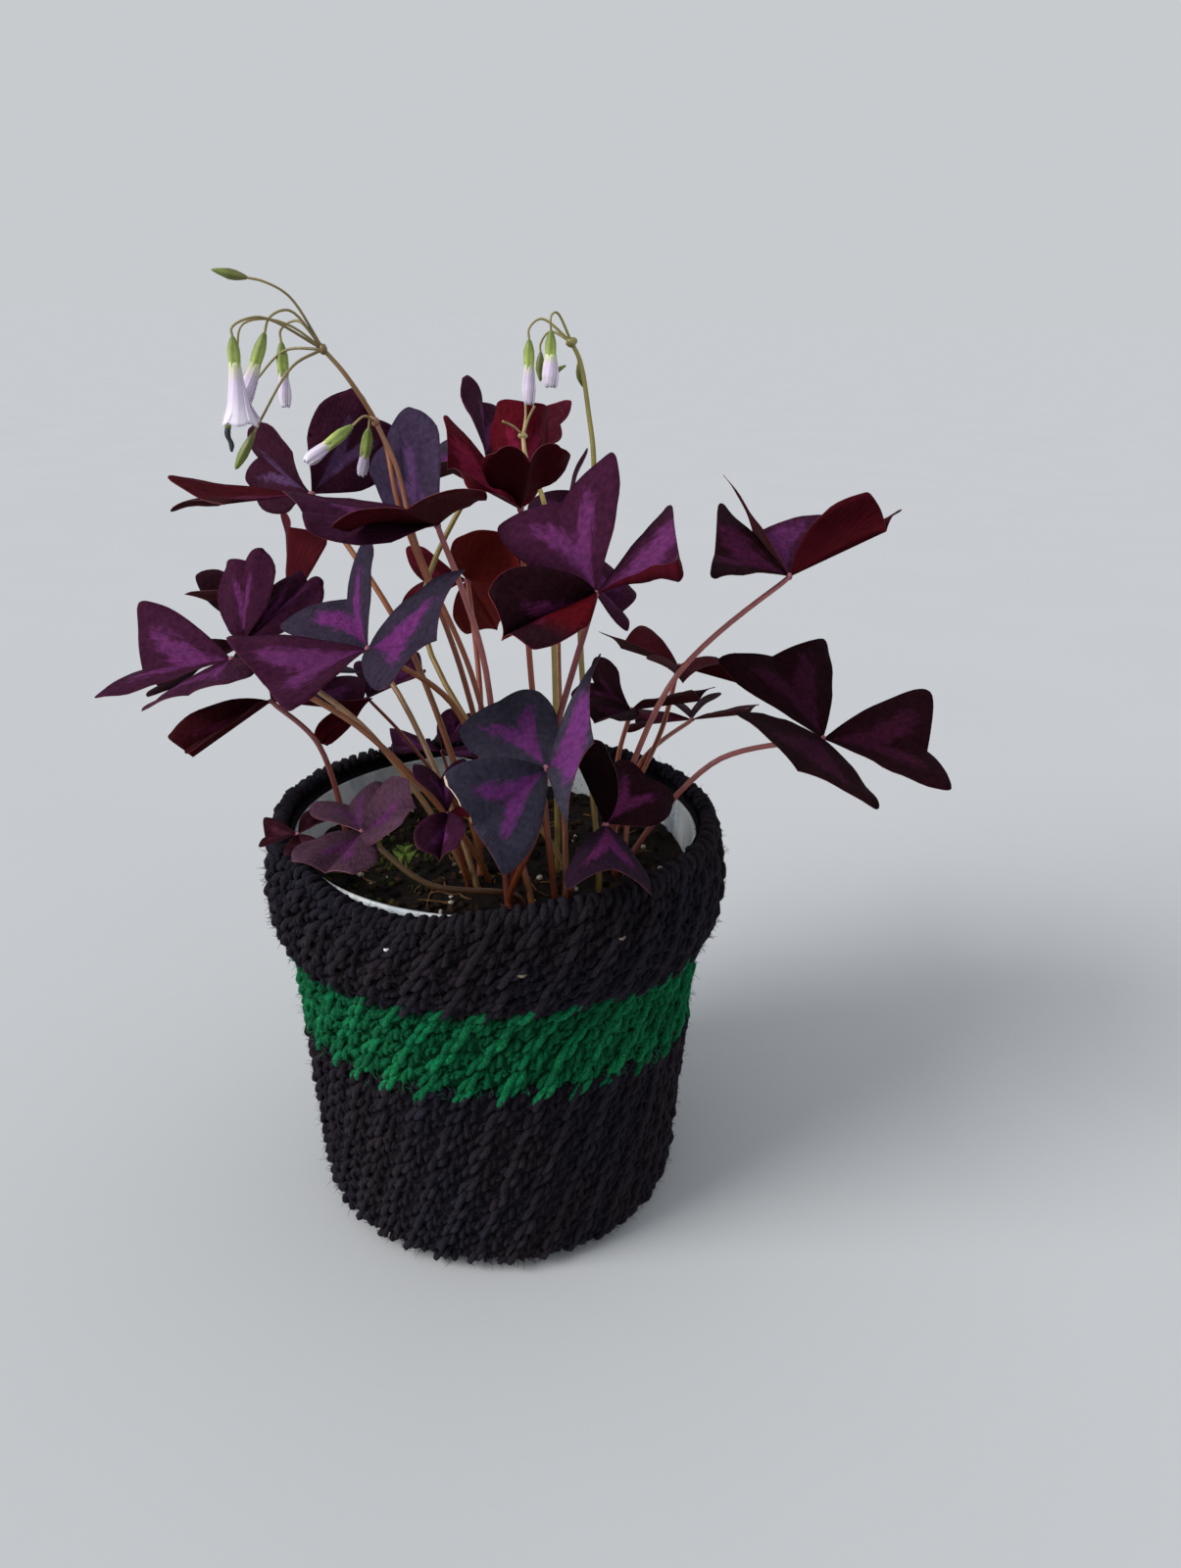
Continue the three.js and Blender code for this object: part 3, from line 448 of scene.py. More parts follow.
def blob(radius, jitter, detail=1):
    """An irregular little lump about the origin."""
    work = bmesh.new()
    bmesh.ops.create_icosphere(work, subdivisions=detail, radius=radius)
    points = np.array([v.co[:] for v in work.verts])
    faces = [[v.index for v in face.verts] for face in work.faces]
    work.free()
    points *= 1 + jitter * (rng.random((len(points), 1)) - 0.5)
    return points * (1 + 0.5 * (rng.random(3) - 0.5)), faces


noise_at = np.vectorize(lambda x, y, z: noise.noise(Vector((x, y, z))))


# ---------------------------------------------------------------- materials
class Paint:
    """A material in the making. Most methods add a node and give back the socket it ends in."""

    def __init__(self, name, roughness, **constants):
        self.made = bpy.data.materials.new(name)
        self.made.use_nodes = True
        self.tree = self.made.node_tree
        self.shader = self.tree.nodes["Principled BSDF"]
        self.fill(self.shader, Roughness=roughness, **constants)

    def put(self, socket, value):
        """Links a socket to another one, or sets it to a plain value."""
        if isinstance(value, bpy.types.NodeSocket):
            self.tree.links.new(value, socket)
        else:
            socket.default_value = (*value, 1) if socket.type == "RGBA" else value

    def fill(self, made, **values):
        for key, value in values.items():
            self.put(made.inputs[key.replace("_", " ")], value)

    def node(self, kind, settings=(), **values):
        made = self.tree.nodes.new("ShaderNode" + kind)
        for key, value in dict(settings).items():
            setattr(made, key, value)
        self.fill(made, **values)
        return made

    def value(self, name, output="Fac"):
        return self.node("Attribute", {"attribute_name": name}).outputs[output]

    def leaf_map(self):
        return self.node("UVMap", {"uv_map": "leaf_map"}).outputs["UV"]

    def place(self):
        return self.node("TexCoord").outputs["Object"]

    def noise(self, scale, detail=3.0, place=None, distortion=0.0):
        values = dict(Scale=scale, Detail=detail, Distortion=distortion)
        return self.node("TexNoise", Vector=place or self.place(), **values).outputs["Fac"]

    def ranged(self, value, low, high, to_low=0.0, to_high=1.0, smooth=False):
        values = dict(Value=value, From_Min=low, From_Max=high, To_Min=to_low, To_Max=to_high)
        settings = {"interpolation_type": "SMOOTHSTEP" if smooth else "LINEAR"}
        return self.node("MapRange", settings, **values).outputs["Result"]

    def sum(self, first, second, operation="ADD", kind="Math"):
        made = self.node(kind, {"operation": operation})
        for socket, value in zip(made.inputs, (first, second)):
            self.put(socket, value)
        return made.outputs[0]

    def product(self, first, second, kind="Math"):
        return self.sum(first, second, "MULTIPLY", kind)

    def mixed(self, factor, first, second, blend="MIX"):
        made = self.node("Mix", {"data_type": "RGBA", "blend_type": blend})
        sockets = {s.identifier: s for s in (*made.inputs, *made.outputs)}
        for key, value in (("Factor_Float", factor), ("A_Color", first), ("B_Color", second)):
            self.put(sockets[key], value)
        return sockets["Result_Color"]

    def shaded(self, colour, share):
        """A colour made darker or lighter by a factor."""
        grey = self.node("CombineColor", Red=share, Green=share, Blue=share).outputs["Color"]
        return self.mixed(1.0, colour, grey, "MULTIPLY")

    def finish(self, colour, height, depth):
        """Takes the colour, and bumps of a height that varies by a depth. Gives the material."""
        bump = self.node("Bump", Strength=1.0, Distance=depth * MM, Height=height)
        self.fill(self.shader, Base_Color=colour, Normal=bump.outputs["Normal"])
        return self.made


def tinted(name, roughness, scale, spread, bump, bump_scale, **constants):
    """A material whose colour is the points' own tint, made lighter and darker by fine noise."""
    paint = Paint(name, roughness, **constants)
    change = paint.ranged(paint.noise(scale, 5), 0.3, 0.7, 1 - spread, 1 + spread)
    colour = paint.shaded(paint.value("tint", "Color"), change)
    return paint.finish(colour, paint.noise(bump_scale, 4), bump)


def yarn(name, dark, light, warm, sheen):
    """Matted wool: fine dark and light fibres, in patches warmer and cooler."""
    soft = dict(Sheen_Weight=0.12, Sheen_Roughness=0.5, Sheen_Tint=sheen, Specular_IOR_Level=0.12)
    paint = Paint(name, 0.95, **soft)
    fibres = paint.ranged(paint.noise(1100, 6, distortion=2.5), 0.36, 0.66)
    patches = paint.ranged(paint.noise(28, 4), 0.42, 0.6)
    # The strands' attribute read here holds their own random tone times painted light: deeper
    # strands and the lining darker as painted shade, loose fibres lighter as painted highlight.
    lit = paint.product(fibres, paint.value("tone"))
    colour = paint.mixed(lit, dark, paint.mixed(patches, light, warm))
    return paint.finish(colour, paint.noise(1900, 5, distortion=3.0), 0.6)


def leaf_top():
    """The margin's colour with a ragged flare, fine veins and velvet, and dry where it is torn."""
    matt = dict(Specular_IOR_Level=0.02, Specular_Tint=srgb(235, 180, 225))
    paint = Paint("leaf_upper_face", 0.7, **matt)
    leaf_map = paint.leaf_map()
    rays = paint.noise(11.0, 6, leaf_map, 0.6)
    blotches = paint.noise(210, 6, distortion=0.6)
    uneven = paint.sum(paint.product(rays, 1.1), paint.product(blotches, 0.8))
    edge = paint.sum(paint.value("flare"), paint.sum(uneven, -0.95))
    lit = paint.ranged(edge, 0.26, 0.84, smooth=True)
    colour = paint.mixed(lit, paint.value("margin", "Color"), paint.value("glow", "Color"))
    colour = paint.shaded(colour, paint.ranged(paint.noise(520, 6), 0.25, 0.75, 0.66, 1.34))
    dry = paint.sum(paint.value("dry"), paint.product(blotches, 0.5))
    colour = paint.mixed(paint.ranged(dry, 0.86, 0.96), colour, DRY)
    veins = paint.sum(paint.noise(16.0, 3, leaf_map, 0.2), paint.product(blotches, 0.8))
    velvet = paint.product(paint.noise(1400, 3), 0.35)
    return paint.finish(colour, paint.sum(veins, velvet), 0.5)


def leaf_under():
    matt = dict(Specular_IOR_Level=0.02, Specular_Tint=srgb(235, 150, 160))
    paint = Paint("leaf_underside", 0.7, **matt)
    leaf_map = paint.leaf_map()
    veins = paint.ranged(paint.noise(14.0, 4, leaf_map, 0.3), 0.3, 0.7, 0.7, 1.25)
    colour = paint.shaded(paint.value("under", "Color"), veins)
    dry = paint.ranged(paint.value("dry"), 0.6, 0.75)
    colour = paint.mixed(dry, colour, srgb(170, 134, 104))
    return paint.finish(colour, paint.noise(16.0, 3, leaf_map, 0.3), 0.3)


def pot_plastic():
    """Slightly translucent white plastic with stains, upright streaks and clustered specks."""
    radii = dict(Subsurface_Radius=(0.004, 0.005, 0.006), Subsurface_Scale=1.0)
    paint = Paint("white_plastic", 0.32, Subsurface_Weight=0.25, Specular_IOR_Level=0.5, **radii)
    stain = paint.ranged(paint.noise(22, 6, distortion=0.5), 0.5, 0.8, 0, 0.35, smooth=True)
    colour = paint.mixed(stain, srgb(222, 230, 234), srgb(172, 168, 152))
    upright = paint.product(paint.place(), (1, 1, 0.2), "VectorMath")
    streaks = paint.ranged(paint.noise(120, 5, upright, 0.8), 0.5, 0.68, 0, 0.55)
    colour = paint.mixed(streaks, colour, srgb(150, 168, 188))
    clusters = paint.ranged(paint.noise(45, 3), 0.48, 0.62)
    specks = paint.product(paint.ranged(paint.noise(800, 2), 0.64, 0.68), clusters)
    colour = paint.mixed(specks, colour, srgb(44, 34, 28))
    paint.fill(paint.shader, Roughness=paint.ranged(paint.noise(60, 4), 0.3, 0.7, 0.26, 0.44))
    return paint.finish(colour, paint.noise(90, 3), 0.12)


YARN_BLACK = yarn("yarn_black", *shades((9, 7, 9), (49, 45, 58), (55, 46, 52), (130, 120, 150)))
YARN_GREEN = yarn("yarn_green", *shades((0, 44, 24), (8, 150, 92), (30, 158, 98), (90, 200, 150)))
STALK = tinted("stalk_skin", 0.42, 260, 0.16, 0.08, 700, Specular_IOR_Level=0.5, Coat_Weight=0.1)
CALYX = tinted("calyx_skin", 0.5, 300, 0.2, 0.1, 500)
PETAL = tinted("petal", 0.6, 260, 0.06, 0.06, 400, Sheen_Weight=0.2)
SOIL = tinted("soil", 0.95, 420, 0.5, 0.5, 700, Specular_IOR_Level=0.2)
# The leaves' thin rim is tinted lighter than the underside, as a painted highlight along the edge.
LEAF_RIM = tinted("leaf_rim", 0.5, 300, 0.3, 0.05, 500, Specular_IOR_Level=0.3)
LEAF_MATERIALS = [leaf_top(), leaf_under(), LEAF_RIM]
POT = pot_plastic()


# ---------------------------------------------------------------- the crocheted cover
def cover_rise(height, y):
    """How far the rows at a height are lifted: they climb towards the front, the band the most."""
    middle = (BAND_BOTTOM + BAND_TOP) / 2
    below = height / middle
    above = 1 - (height - middle) / (CUFF_TOP - middle)
    reach = np.maximum(0, np.where(height < middle, below, above))
    return BAND_RISE * reach * (-y / COVER_WAIST_RADIUS)


def cover_radius(height):
    share = (height - COVER_LOW_HEIGHT) / (BAND_TOP - COVER_LOW_HEIGHT)
    return COVER_LOW_RADIUS + (COVER_WAIST_RADIUS - COVER_LOW_RADIUS) * share


COVER_PROFILE = spline(
    [(0, 0), (30, 0), (56, 0), (COVER_FOOT_RADIUS - 1, 0.4), (COVER_LOW_RADIUS - 1.6, 5)]
    + [(cover_radius(height), height) for height in (COVER_LOW_HEIGHT, 46, 77, 100)]
    + [(COVER_WAIST_RADIUS + 0.6, 108), (CUFF_RADIUS - 3, 115.4), (CUFF_RADIUS, 129.4)]
    + [(CUFF_RADIUS - 0.6, 144), (CUFF_RADIUS - 3, 154), (CUFF_RADIUS - 6, CUFF_TOP)]
    + [(POT_RIM_RADIUS + 1.4, CUFF_TOP - 1), (POT_RIM_RADIUS + 0.6, CUFF_TOP - 4)],
    700,
)
COVER_RUN = np.append(0, np.cumsum(np.linalg.norm(np.diff(COVER_PROFILE, axis=0), axis=1)))
COVER_NORMAL = unit(np.gradient(COVER_PROFILE, axis=0))[:, ::-1] * (1, -1)
COVER_ROWS = (*COVER_PROFILE.T, *COVER_NORMAL.T)


def along_cover(run):
    """The outside at a run from the centre of the base: radius, height, and its outward normal."""
    return [np.interp(run, COVER_RUN, row) for row in COVER_ROWS]


def run_at(height):
    """How far along the outside, from the centre of the base, the cover reaches a height."""
    outside = slice(len(COVER_RUN) // 6, int(len(COVER_RUN) * 0.9))
    return float(np.interp(height, COVER_PROFILE[outside, 1], COVER_RUN[outside]))


# The cuff has slipped down a little at the front left, where the pot's rim shows.
CUFF_SAG = 7.4
CUFF_SAG_TURN = -0.5
CUFF_SAG_SPREAD = 0.44


def cuff_sag(turn, height):
    aside = ((turn - CUFF_SAG_TURN + np.pi) % TURN - np.pi) / CUFF_SAG_SPREAD
    share = np.clip((height - POT_COLLAR_BOTTOM) / (CUFF_TOP - POT_COLLAR_BOTTOM), 0, 1)
    return CUFF_SAG * np.exp(-(aside**2)) * share**2


def cover_place(turn, run, out):
    """The places on the cover at turns from the front and runs from the base, and the way out."""
    radius, height, wide, tall = along_cover(run)
    reach = radius + out * wide
    y = -reach * np.cos(turn)
    z = height + out * tall - cuff_sag(turn, height)
    place = np.stack([reach * np.sin(turn), y, z + cover_rise(height, y)], -1)
    return place, np.stack([wide * np.sin(turn), -wide * np.cos(turn), tall], -1)


# The strands of a stitch as (across, up, out) in a cell 15 wide and 7 tall, with their thickness
# and how much light they catch.
CELL = 15.0
LONG_LEG = (
    ((-5.6, -4.8, -3.0), (-3.7, -2.6, -1.6), (-0.8, 0.2, -1.1), (2.3, 2.9, -1.5), (4.1, 4.8, -3.2)),
    1.95, 1.0)
SHORT_LEG = (
    ((1.7, -4.4, -3.4), (3.3, -2.2, -2.0), (4.9, -0.2, -1.7), (6.3, 1.9, -2.1), (6.8, 3.8, -3.6)),
    1.65, 0.72)
TOP_LOOP = (((-7.6, -0.6, -3.2), (-6.0, 1.7, -2.1), (-4.0, 2.9, -1.9), (-1.9, 3.0, -3.2)), 1.35, 0.6)
EDGE_LEG = (
    ((-2.6, -5.4, -2.2), (-1.5, -2.6, -0.8), (0.2, 0.4, -0.3), (1.8, 3.2, -0.8), (2.6, 5.2, -2.4)),
    2.0, 0.9)
STITCH = (LONG_LEG, SHORT_LEG, TOP_LOOP)
PLUMPNESS = np.array([0.5, 0.78, 0.93, 1.0, 1.04, 1.04, 1.0, 0.93, 0.78, 0.5])
STATIONS = len(PLUMPNESS)
PLIES = 2
PLY_SIDES = 5
PLY_WIND = 6.2  # radians that the plies wind round each other along one strand
PLY_SIZE = 0.66  # as a share of the strand's own radius, as is the next
PLY_OFFSET = 0.55


def add_strands(shape, kind, turns, run, cell=CELL, size=1.0, wander=0.35, lift=0.0):
    """Adds one strand of a kind at every turn, each a little different."""
    points, thickness, light = kind
    count = len(turns)
    drift = rng.normal(0, wander, (count, 1, 3)) * (1, 1, 0.6)
    stretch = 1 + rng.normal(0, 0.07, (count, 1, 3))
    local = spline(points, STATIONS)[None] * stretch + drift
    local += rng.normal(0, 0.16, (count, STATIONS, 3))
    runs = run + local[..., 1]
    radius = np.maximum(along_cover(runs)[0], 3)
    turn = turns[:, None] + local[..., 0] * (cell / CELL) / radius
    place, way = cover_place(turn, runs, local[..., 2] + lift)
    radii = thickness * size * PLUMPNESS * (1 + rng.normal(0, 0.06, (count, 1)))
    # A kind's light share darkens its strands as painted shade where they lie deeper; the random
    # share is the yarn's own uneven tone.
    tone = light * rng.uniform(0.55, 1.15, count)
    across, raised = axes_across(place, way)
    wind = rng.random((count, 1)) * 6 + np.linspace(0, PLY_WIND, STATIONS)
    for ply in range(PLIES):
        turn = (wind + TURN * ply / PLIES)[..., None]
        aside = np.cos(turn) * across + np.sin(turn) * raised
        path = place + aside * radii[..., None] * PLY_OFFSET
        ply_tone_and_shade = np.repeat(tone, STATIONS * PLY_SIDES)
        shape.add(*sweep(path, way, radii * PLY_SIZE, PLY_SIDES), tone=ply_tone_and_shade)


def stitch_row(shape, run, pairs, shift, kinds=STITCH, **look):
    cell = TURN * along_cover(run)[0] / pairs
    for kind in kinds:
        add_strands(shape, kind, turns_of(pairs) + shift, run, cell, **look)


def stitch_rows(shapes, counts, run, step, shift, lean, pairs):
    """Rows of stitches from a run upwards, so many in each shape. Gives the next row's shift."""
    homes = [shape for shape, count in zip(shapes, counts) for _ in range(count)]
    for row, shape in enumerate(homes):
        stitch_row(shape, run + step * row, pairs, shift)
        shift += lean
    return shift


FIBRE_RADII = (0.11, 0.09, 0.05)
FIBRE_SIDES = 3


def fuzz(shape, count, low, high, length=4.8):
    """Loose fibres that stand off the yarn between two runs."""
    turns = rng.random(count) * TURN
    runs = rng.uniform(low, high, count)
    start, way = cover_place(turns, runs, -0.7)
    side = np.stack([np.cos(turns), np.sin(turns), np.zeros(count)], -1)
    rise = np.cross(way, side)
    lean = rng.normal(0, 1, (count, 2, 1)) * 0.9
    heading = unit(way * rng.uniform(0.2, 1.0, (count, 1)) + side * lean[:, 0] + rise * lean[:, 1])
    curl = unit(rng.normal(0, 1, (count, 3)))
    size = (rng.uniform(0.5, 1.0, (count, 1)) * length)[:, None]
    along = np.linspace(0, 1, len(FIBRE_RADII))[None, :, None]
    paths = start[:, None] + heading[:, None] * size * along * (1 - 0.35 * along)
    paths = paths + curl[:, None] * size * 0.45 * along**2
    ups = np.broadcast_to(unit(np.cross(heading, curl))[:, None], paths.shape)
    # Loose fibres get a tone up to 2.4, lighter than the strands, as a painted highlight on stray
    # fibres.
    tone = np.repeat(rng.uniform(1.0, 2.4, count), len(FIBRE_RADII) * FIBRE_SIDES)
    shape.add(*sweep(paths, ups, FIBRE_RADII, FIBRE_SIDES), tone=tone)


def inner_radius(height):
    """The inside of the cover, just outside the pot."""
    share = np.clip((height + BAND_RISE - POT_FOOT) / (POT_COLLAR_BOTTOM - POT_FOOT), 0, 1)
    slope = POT_FOOT_RADIUS + (POT_NECK_RADIUS - POT_FOOT_RADIUS) * share
    at_collar = height + BAND_RISE >= POT_COLLAR_BOTTOM - 2
    return np.where(at_collar, POT_RIM_RADIUS, slope) + CLEARANCE


FLOOR_DEPTH = 2.2
FLOOR_TOP = COVER_BASE_THICKNESS - 0.8


def lining(shape, low, high, floor=False):
    """The knotted mass under the strands, between two runs, with a low tone as painted shade."""
    radius, height, wide, tall = along_cover(np.linspace(low, high, max(4, int((high - low) / 4))))
    inside = inner_radius(height)
    depth = FLOOR_DEPTH if floor else np.clip(radius - inside - 0.6, 0.9, 3.0)
    outer = list(zip(np.maximum(radius - depth * wide, 0), height - depth * tall))
    if floor:
        levels = np.linspace(outer[-1][1], FLOOR_TOP, 8)
        inner = [*zip(inner_radius(levels), levels), (0, FLOOR_TOP)]
    else:
        inner = [(min(limit, r - 0.5), z) for (r, z), limit in zip(outer[::-1], inside[::-1])]
    points, faces = revolve(outer + inner, 128, closed=True)
    x, y, z = points.T
    points[:, 2] += cover_rise(z, y) - cuff_sag(np.arctan2(x, -y), z)
    # A low tone of 0.25 darkens the lining as painted shade between the strands.
    shape.add(points, faces, tone=0.25)


ROW_HEIGHT = 7.0
PAIRS = 34
LEAN_BLACK = math.tan(math.radians(20)) * ROW_HEIGHT / COVER_WAIST_RADIUS
LEAN_GREEN = math.tan(math.radians(36)) * ROW_HEIGHT / COVER_WAIST_RADIUS
RUN_FOOT = run_at(3)
RUN_BAND = run_at(BAND_BOTTOM)
RUN_CUFF = run_at(BAND_TOP)
RUN_TOP = float(COVER_RUN[-1])
LOWER_ROWS = (6, 5)
BAND_ROWS = 4
CUFF_ROWS = (4, 3)
BASE_ROUNDS = 9
EDGE_LOOPS = 98


def make_yarn_piece(name, shape, stands_for=None, colour="black"):
    """A piece of the cover. One that stands for a solid also has a lining, which is welded."""
    material = YARN_GREEN if colour == "green" else YARN_BLACK
    weld = WELD if stands_for else 0
    make_piece(name, shape, [material], stands_for, weld=weld)


def make_cover():
    halves = [Shape(), Shape()]
    step = (RUN_BAND - RUN_FOOT) / sum(LOWER_ROWS)
    split = RUN_FOOT + step * LOWER_ROWS[0]
    shift = stitch_rows(halves, LOWER_ROWS, RUN_FOOT + step * 0.5, step, 0.06, LEAN_BLACK, PAIRS)
    lining(halves[0], 0, RUN_BAND, floor=True)
    fuzz(halves[0], 2700, RUN_FOOT, split)
    fuzz(halves[1], 2400, split, RUN_BAND)
    make_yarn_piece("cover_lower_rows", halves[0], "cover_lower_black")

    base = Shape()
    for number in range(BASE_ROUNDS):
        run = 4 + number * ROW_HEIGHT
        pairs = max(3, round(TURN * run / CELL))
        stitch_row(base, run, pairs, number * 0.3, (LONG_LEG, SHORT_LEG), lift=-0.9)
    make_yarn_piece("cover_base_rounds", base)

    band = Shape()
    step = (RUN_CUFF - RUN_BAND) / BAND_ROWS
    before = shift - LEAN_BLACK * 0.5
    stitch_row(band, RUN_BAND - step * 0.12, PAIRS, before, (LONG_LEG,), size=0.95, lift=0.3)
    shift = stitch_rows([band], [BAND_ROWS], RUN_BAND + step * 0.5, step, shift, LEAN_GREEN, PAIRS)
    after = shift - LEAN_GREEN * 0.3
    stitch_row(band, RUN_CUFF + step * 0.35, PAIRS, after, (LONG_LEG,), size=0.9, lift=0.35)
    lining(band, RUN_BAND, RUN_CUFF)
    fuzz(band, 2700, RUN_BAND - 3, RUN_CUFF + 3)
    make_yarn_piece("cover_green_rows", band, "cover_band_green", "green")
    make_yarn_piece("cover_lower_rows_upper", halves[1])

    cuffs = [Shape(), Shape()]
    step = (RUN_TOP - 8 - RUN_CUFF) / sum(CUFF_ROWS)
    split = RUN_CUFF + step * CUFF_ROWS[0]
    stitch_rows(cuffs, CUFF_ROWS, RUN_CUFF + step * 0.55, step, shift, LEAN_BLACK, PAIRS + 1)
    lining(cuffs[0], RUN_CUFF, RUN_TOP)
    fuzz(cuffs[0], 2600, RUN_CUFF, split, 5.0)
    fuzz(cuffs[1], 1900, split, RUN_TOP - 3, 5.0)
    make_yarn_piece("cover_cuff_rows", cuffs[0], "cover_cuff_black")
    make_yarn_piece("cover_cuff_rows_upper", cuffs[1])

    edge = Shape()
    add_strands(edge, EDGE_LEG, turns_of(EDGE_LOOPS), RUN_TOP - 7.5, wander=0.25)
    make_yarn_piece("cover_edge_chain", edge)


# A bit of white fluff and two bits of straw caught in the cuff: turn, height, length, colour.
FLECKS = (
    (-25, 142.5, 1.6, srgb(214, 214, 220)),
    (4, 133.5, 2.8, srgb(120, 108, 92)),
    (27, 142, 2.4, srgb(112, 100, 90)),
)


def make_flecks():
    flecks = Shape()
    for turn, height, length, colour in FLECKS:
        turns = math.radians(turn) + np.array([0, length / CUFF_RADIUS])
        place, way = cover_place(turns, np.full(2, run_at(height)), 0.4)
        bent = [place[0], place.mean(0) + way[0] * 0.5, place[1] + (0, 0, 0.4)]
        flecks.add(*stem(bent, (0.3, 0.55, 0.25), 8, 6), tint=colour)
    make_piece("cover_flecks", flecks, [SOIL])


make_cover()
make_flecks()


# ---------------------------------------------------------------- the pot
def make_pot():
    foot, neck, collar = POT_FOOT, POT_COLLAR_BOTTOM - 2, POT_COLLAR_BOTTOM
    rim, top = POT_RIM_RADIUS, POT_RIM_TOP
    inside = rim - POT_WALL
    shape = Shape()
    shape.add(*revolve([
        (0, foot), (POT_FOOT_RADIUS - 3, foot), (POT_FOOT_RADIUS - 1.2, foot + 0.3),
        (POT_FOOT_RADIUS - 0.2, foot + 1.2), (POT_FOOT_RADIUS, foot + 2.4),
        (POT_NECK_RADIUS - 0.1, neck - 1), (POT_NECK_RADIUS + 0.3, neck),
        (rim - 0.7, collar - 0.6), (rim - 0.1, collar), (rim, collar + 1), (rim, top - 4),
        (rim, top - 0.6), (rim - 0.35, top - 0.1), (rim - 0.9, top), (inside + 0.2, top - 0.2),
        (inside, top - 0.8), (inside, top - 4.4), (inside - 0.35, top - 5),
        (inside - 0.35, top - 10.4), (inside - 0.7, top - 11), (inside - 0.7, collar + 4.2),
        (inside - 1.0, collar + 2.2), (POT_NECK_RADIUS - POT_WALL, neck + 1),
        (POT_FOOT_RADIUS - POT_WALL, foot + 3), (POT_FOOT_RADIUS - 3.4, foot + POT_WALL),
        (0, foot + POT_WALL),
    ], 160))
    pot = make_piece("pot_moulded", shape, [POT], "pot_white", weld=WELD)
    holes = Shape()
    low, high = foot - 4, foot + 6
    for turn in turns_of(DRAIN_HOLES):
        points, faces = revolve([(0, low), (DRAIN_RADIUS, low), (DRAIN_RADIUS, high), (0, high)], 32)
        centre = DRAIN_CIRCLE_RADIUS * np.array([math.cos(turn), math.sin(turn), 0])
        holes.add(points + centre, faces)
    cutter = make_piece("drain_cutter", holes, [POT], weld=WELD)
    cut = pot.modifiers.new("drain", "BOOLEAN")
    cut.object = cutter
    cut.operation = "DIFFERENCE"
    cut.solver = "EXACT"
    graph = bpy.context.evaluated_depsgraph_get()
    finished = bpy.data.meshes.new_from_object(pot.evaluated_get(graph))
    pot.modifiers.clear()
    pot.data = finished
    finished.materials.clear()
    finished.materials.append(POT)
    finished.polygons.foreach_set("use_smooth", [True] * len(finished.polygons))
    finished.set_sharp_from_angle(angle=math.radians(35))
    bpy.data.objects.remove(cutter)


make_pot()


# ---------------------------------------------------------------- the soil
def soil_height(x, y):
    return SOIL_TOP + (SOIL_SWELL / 2) * (np.sin(x / 17 + 1) + np.cos(y / 14 - x / 31))


def rough_height(x, y):
    lumps = 1.3 * noise.fractal(Vector((x / 9, y / 9, 3.7)), 1, 2, 4)
    return float(soil_height(x, y) + lumps + 0.7 * noise_at(x / 2.3, y / 2.3, 9.1))


SOIL_EDGE = POT_RIM_RADIUS - POT_WALL - 1.1
SOIL_RINGS = 52
# Bits on the soil: name, count, sizes, unevenness, colours.
SOIL_BITS = (
    ("soil_crumbs", 560, (0.6, 2.0), 0.5, shades((38, 28, 22), (20, 15, 13), (54, 38, 27))),
    ("soil_perlite", 55, (0.5, 1.3), 0.35, shades((214, 208, 196), (190, 182, 166))),
    ("soil_moss", 200, (0.5, 1.6), 0.6, shades((50, 58, 24), (36, 46, 20), (70, 74, 32))),
)
TWIGS = 60


def somewhere(reach):
    """A random place on the soil, within a reach of its middle."""
    turn, out = rng.random() * TURN, reach * math.sqrt(rng.random())
    return out * math.cos(turn), out * math.sin(turn)


def make_soil():
    bottom = COVER_BASE_THICKNESS + 2 * CLEARANCE + POT_WALL
    wall = POT_WALL + CLEARANCE
    profile = [
        (0, bottom), (POT_FOOT_RADIUS - 3.6 - wall, bottom),
        (POT_FOOT_RADIUS - 0.6 - wall, bottom + 3),
        (POT_NECK_RADIUS - 0.4 - wall, POT_COLLAR_BOTTOM - 0.6),
        (SOIL_EDGE - 0.8, POT_COLLAR_BOTTOM + 3),
    ]
    profile += [(SOIL_EDGE * (1 - k / SOIL_RINGS), SOIL_TOP) for k in range(SOIL_RINGS + 1)]
    points, faces = revolve(profile, 140)
    for point in points:
        if point[2] > SOIL_TOP - 0.01:
            point[2] = rough_height(point[0], point[1])
    bed = Shape()
    bed.add(points, faces, tint=srgb(27, 20, 17))
    make_piece("soil_bed", bed, [SOIL], "soil", weld=WELD)

    for name, count, sizes, jitter, tints in SOIL_BITS:
        moss = name == "soil_moss"
        shape = Shape()
        for _ in range(count):
            x, y = rng.normal((-36, 0), (15, 20)) if moss else somewhere(SOIL_EDGE - 3)
            if math.hypot(x, y) > SOIL_EDGE - 2.5:
                continue
            size = rng.uniform(*sizes)
            points, faces = blob(size, jitter)
            points = points + (x, y, rough_height(x, y) + size * 0.25)
            shape.add(points, faces, tint=tints[rng.integers(len(tints))])
        make_piece(name, shape, [SOIL], smooth=moss)

    twigs = Shape()
    for _ in range(TWIGS):
        x, y = somewhere(SOIL_EDGE - 12)
        heading = rng.random() * TURN
        length = rng.uniform(5, 15)
        path = []
        for share in (-0.5, -0.15, 0.2, 0.5):
            bend = rng.normal(0, 0.6)
            px = x + length * share * math.cos(heading) - bend * math.sin(heading)
            py = y + length * share * math.sin(heading) + bend * math.cos(heading)
            path.append((px, py, rough_height(px, py) + 0.5))
        tint = np.array(srgb(110, 80, 52)) * rng.uniform(0.6, 1.4)
        twigs.add(*stem(path, (0.3, 0.4, 0.22), 8, 6), tint=tint)
    make_piece("soil_twigs", twigs, [SOIL])


make_soil()


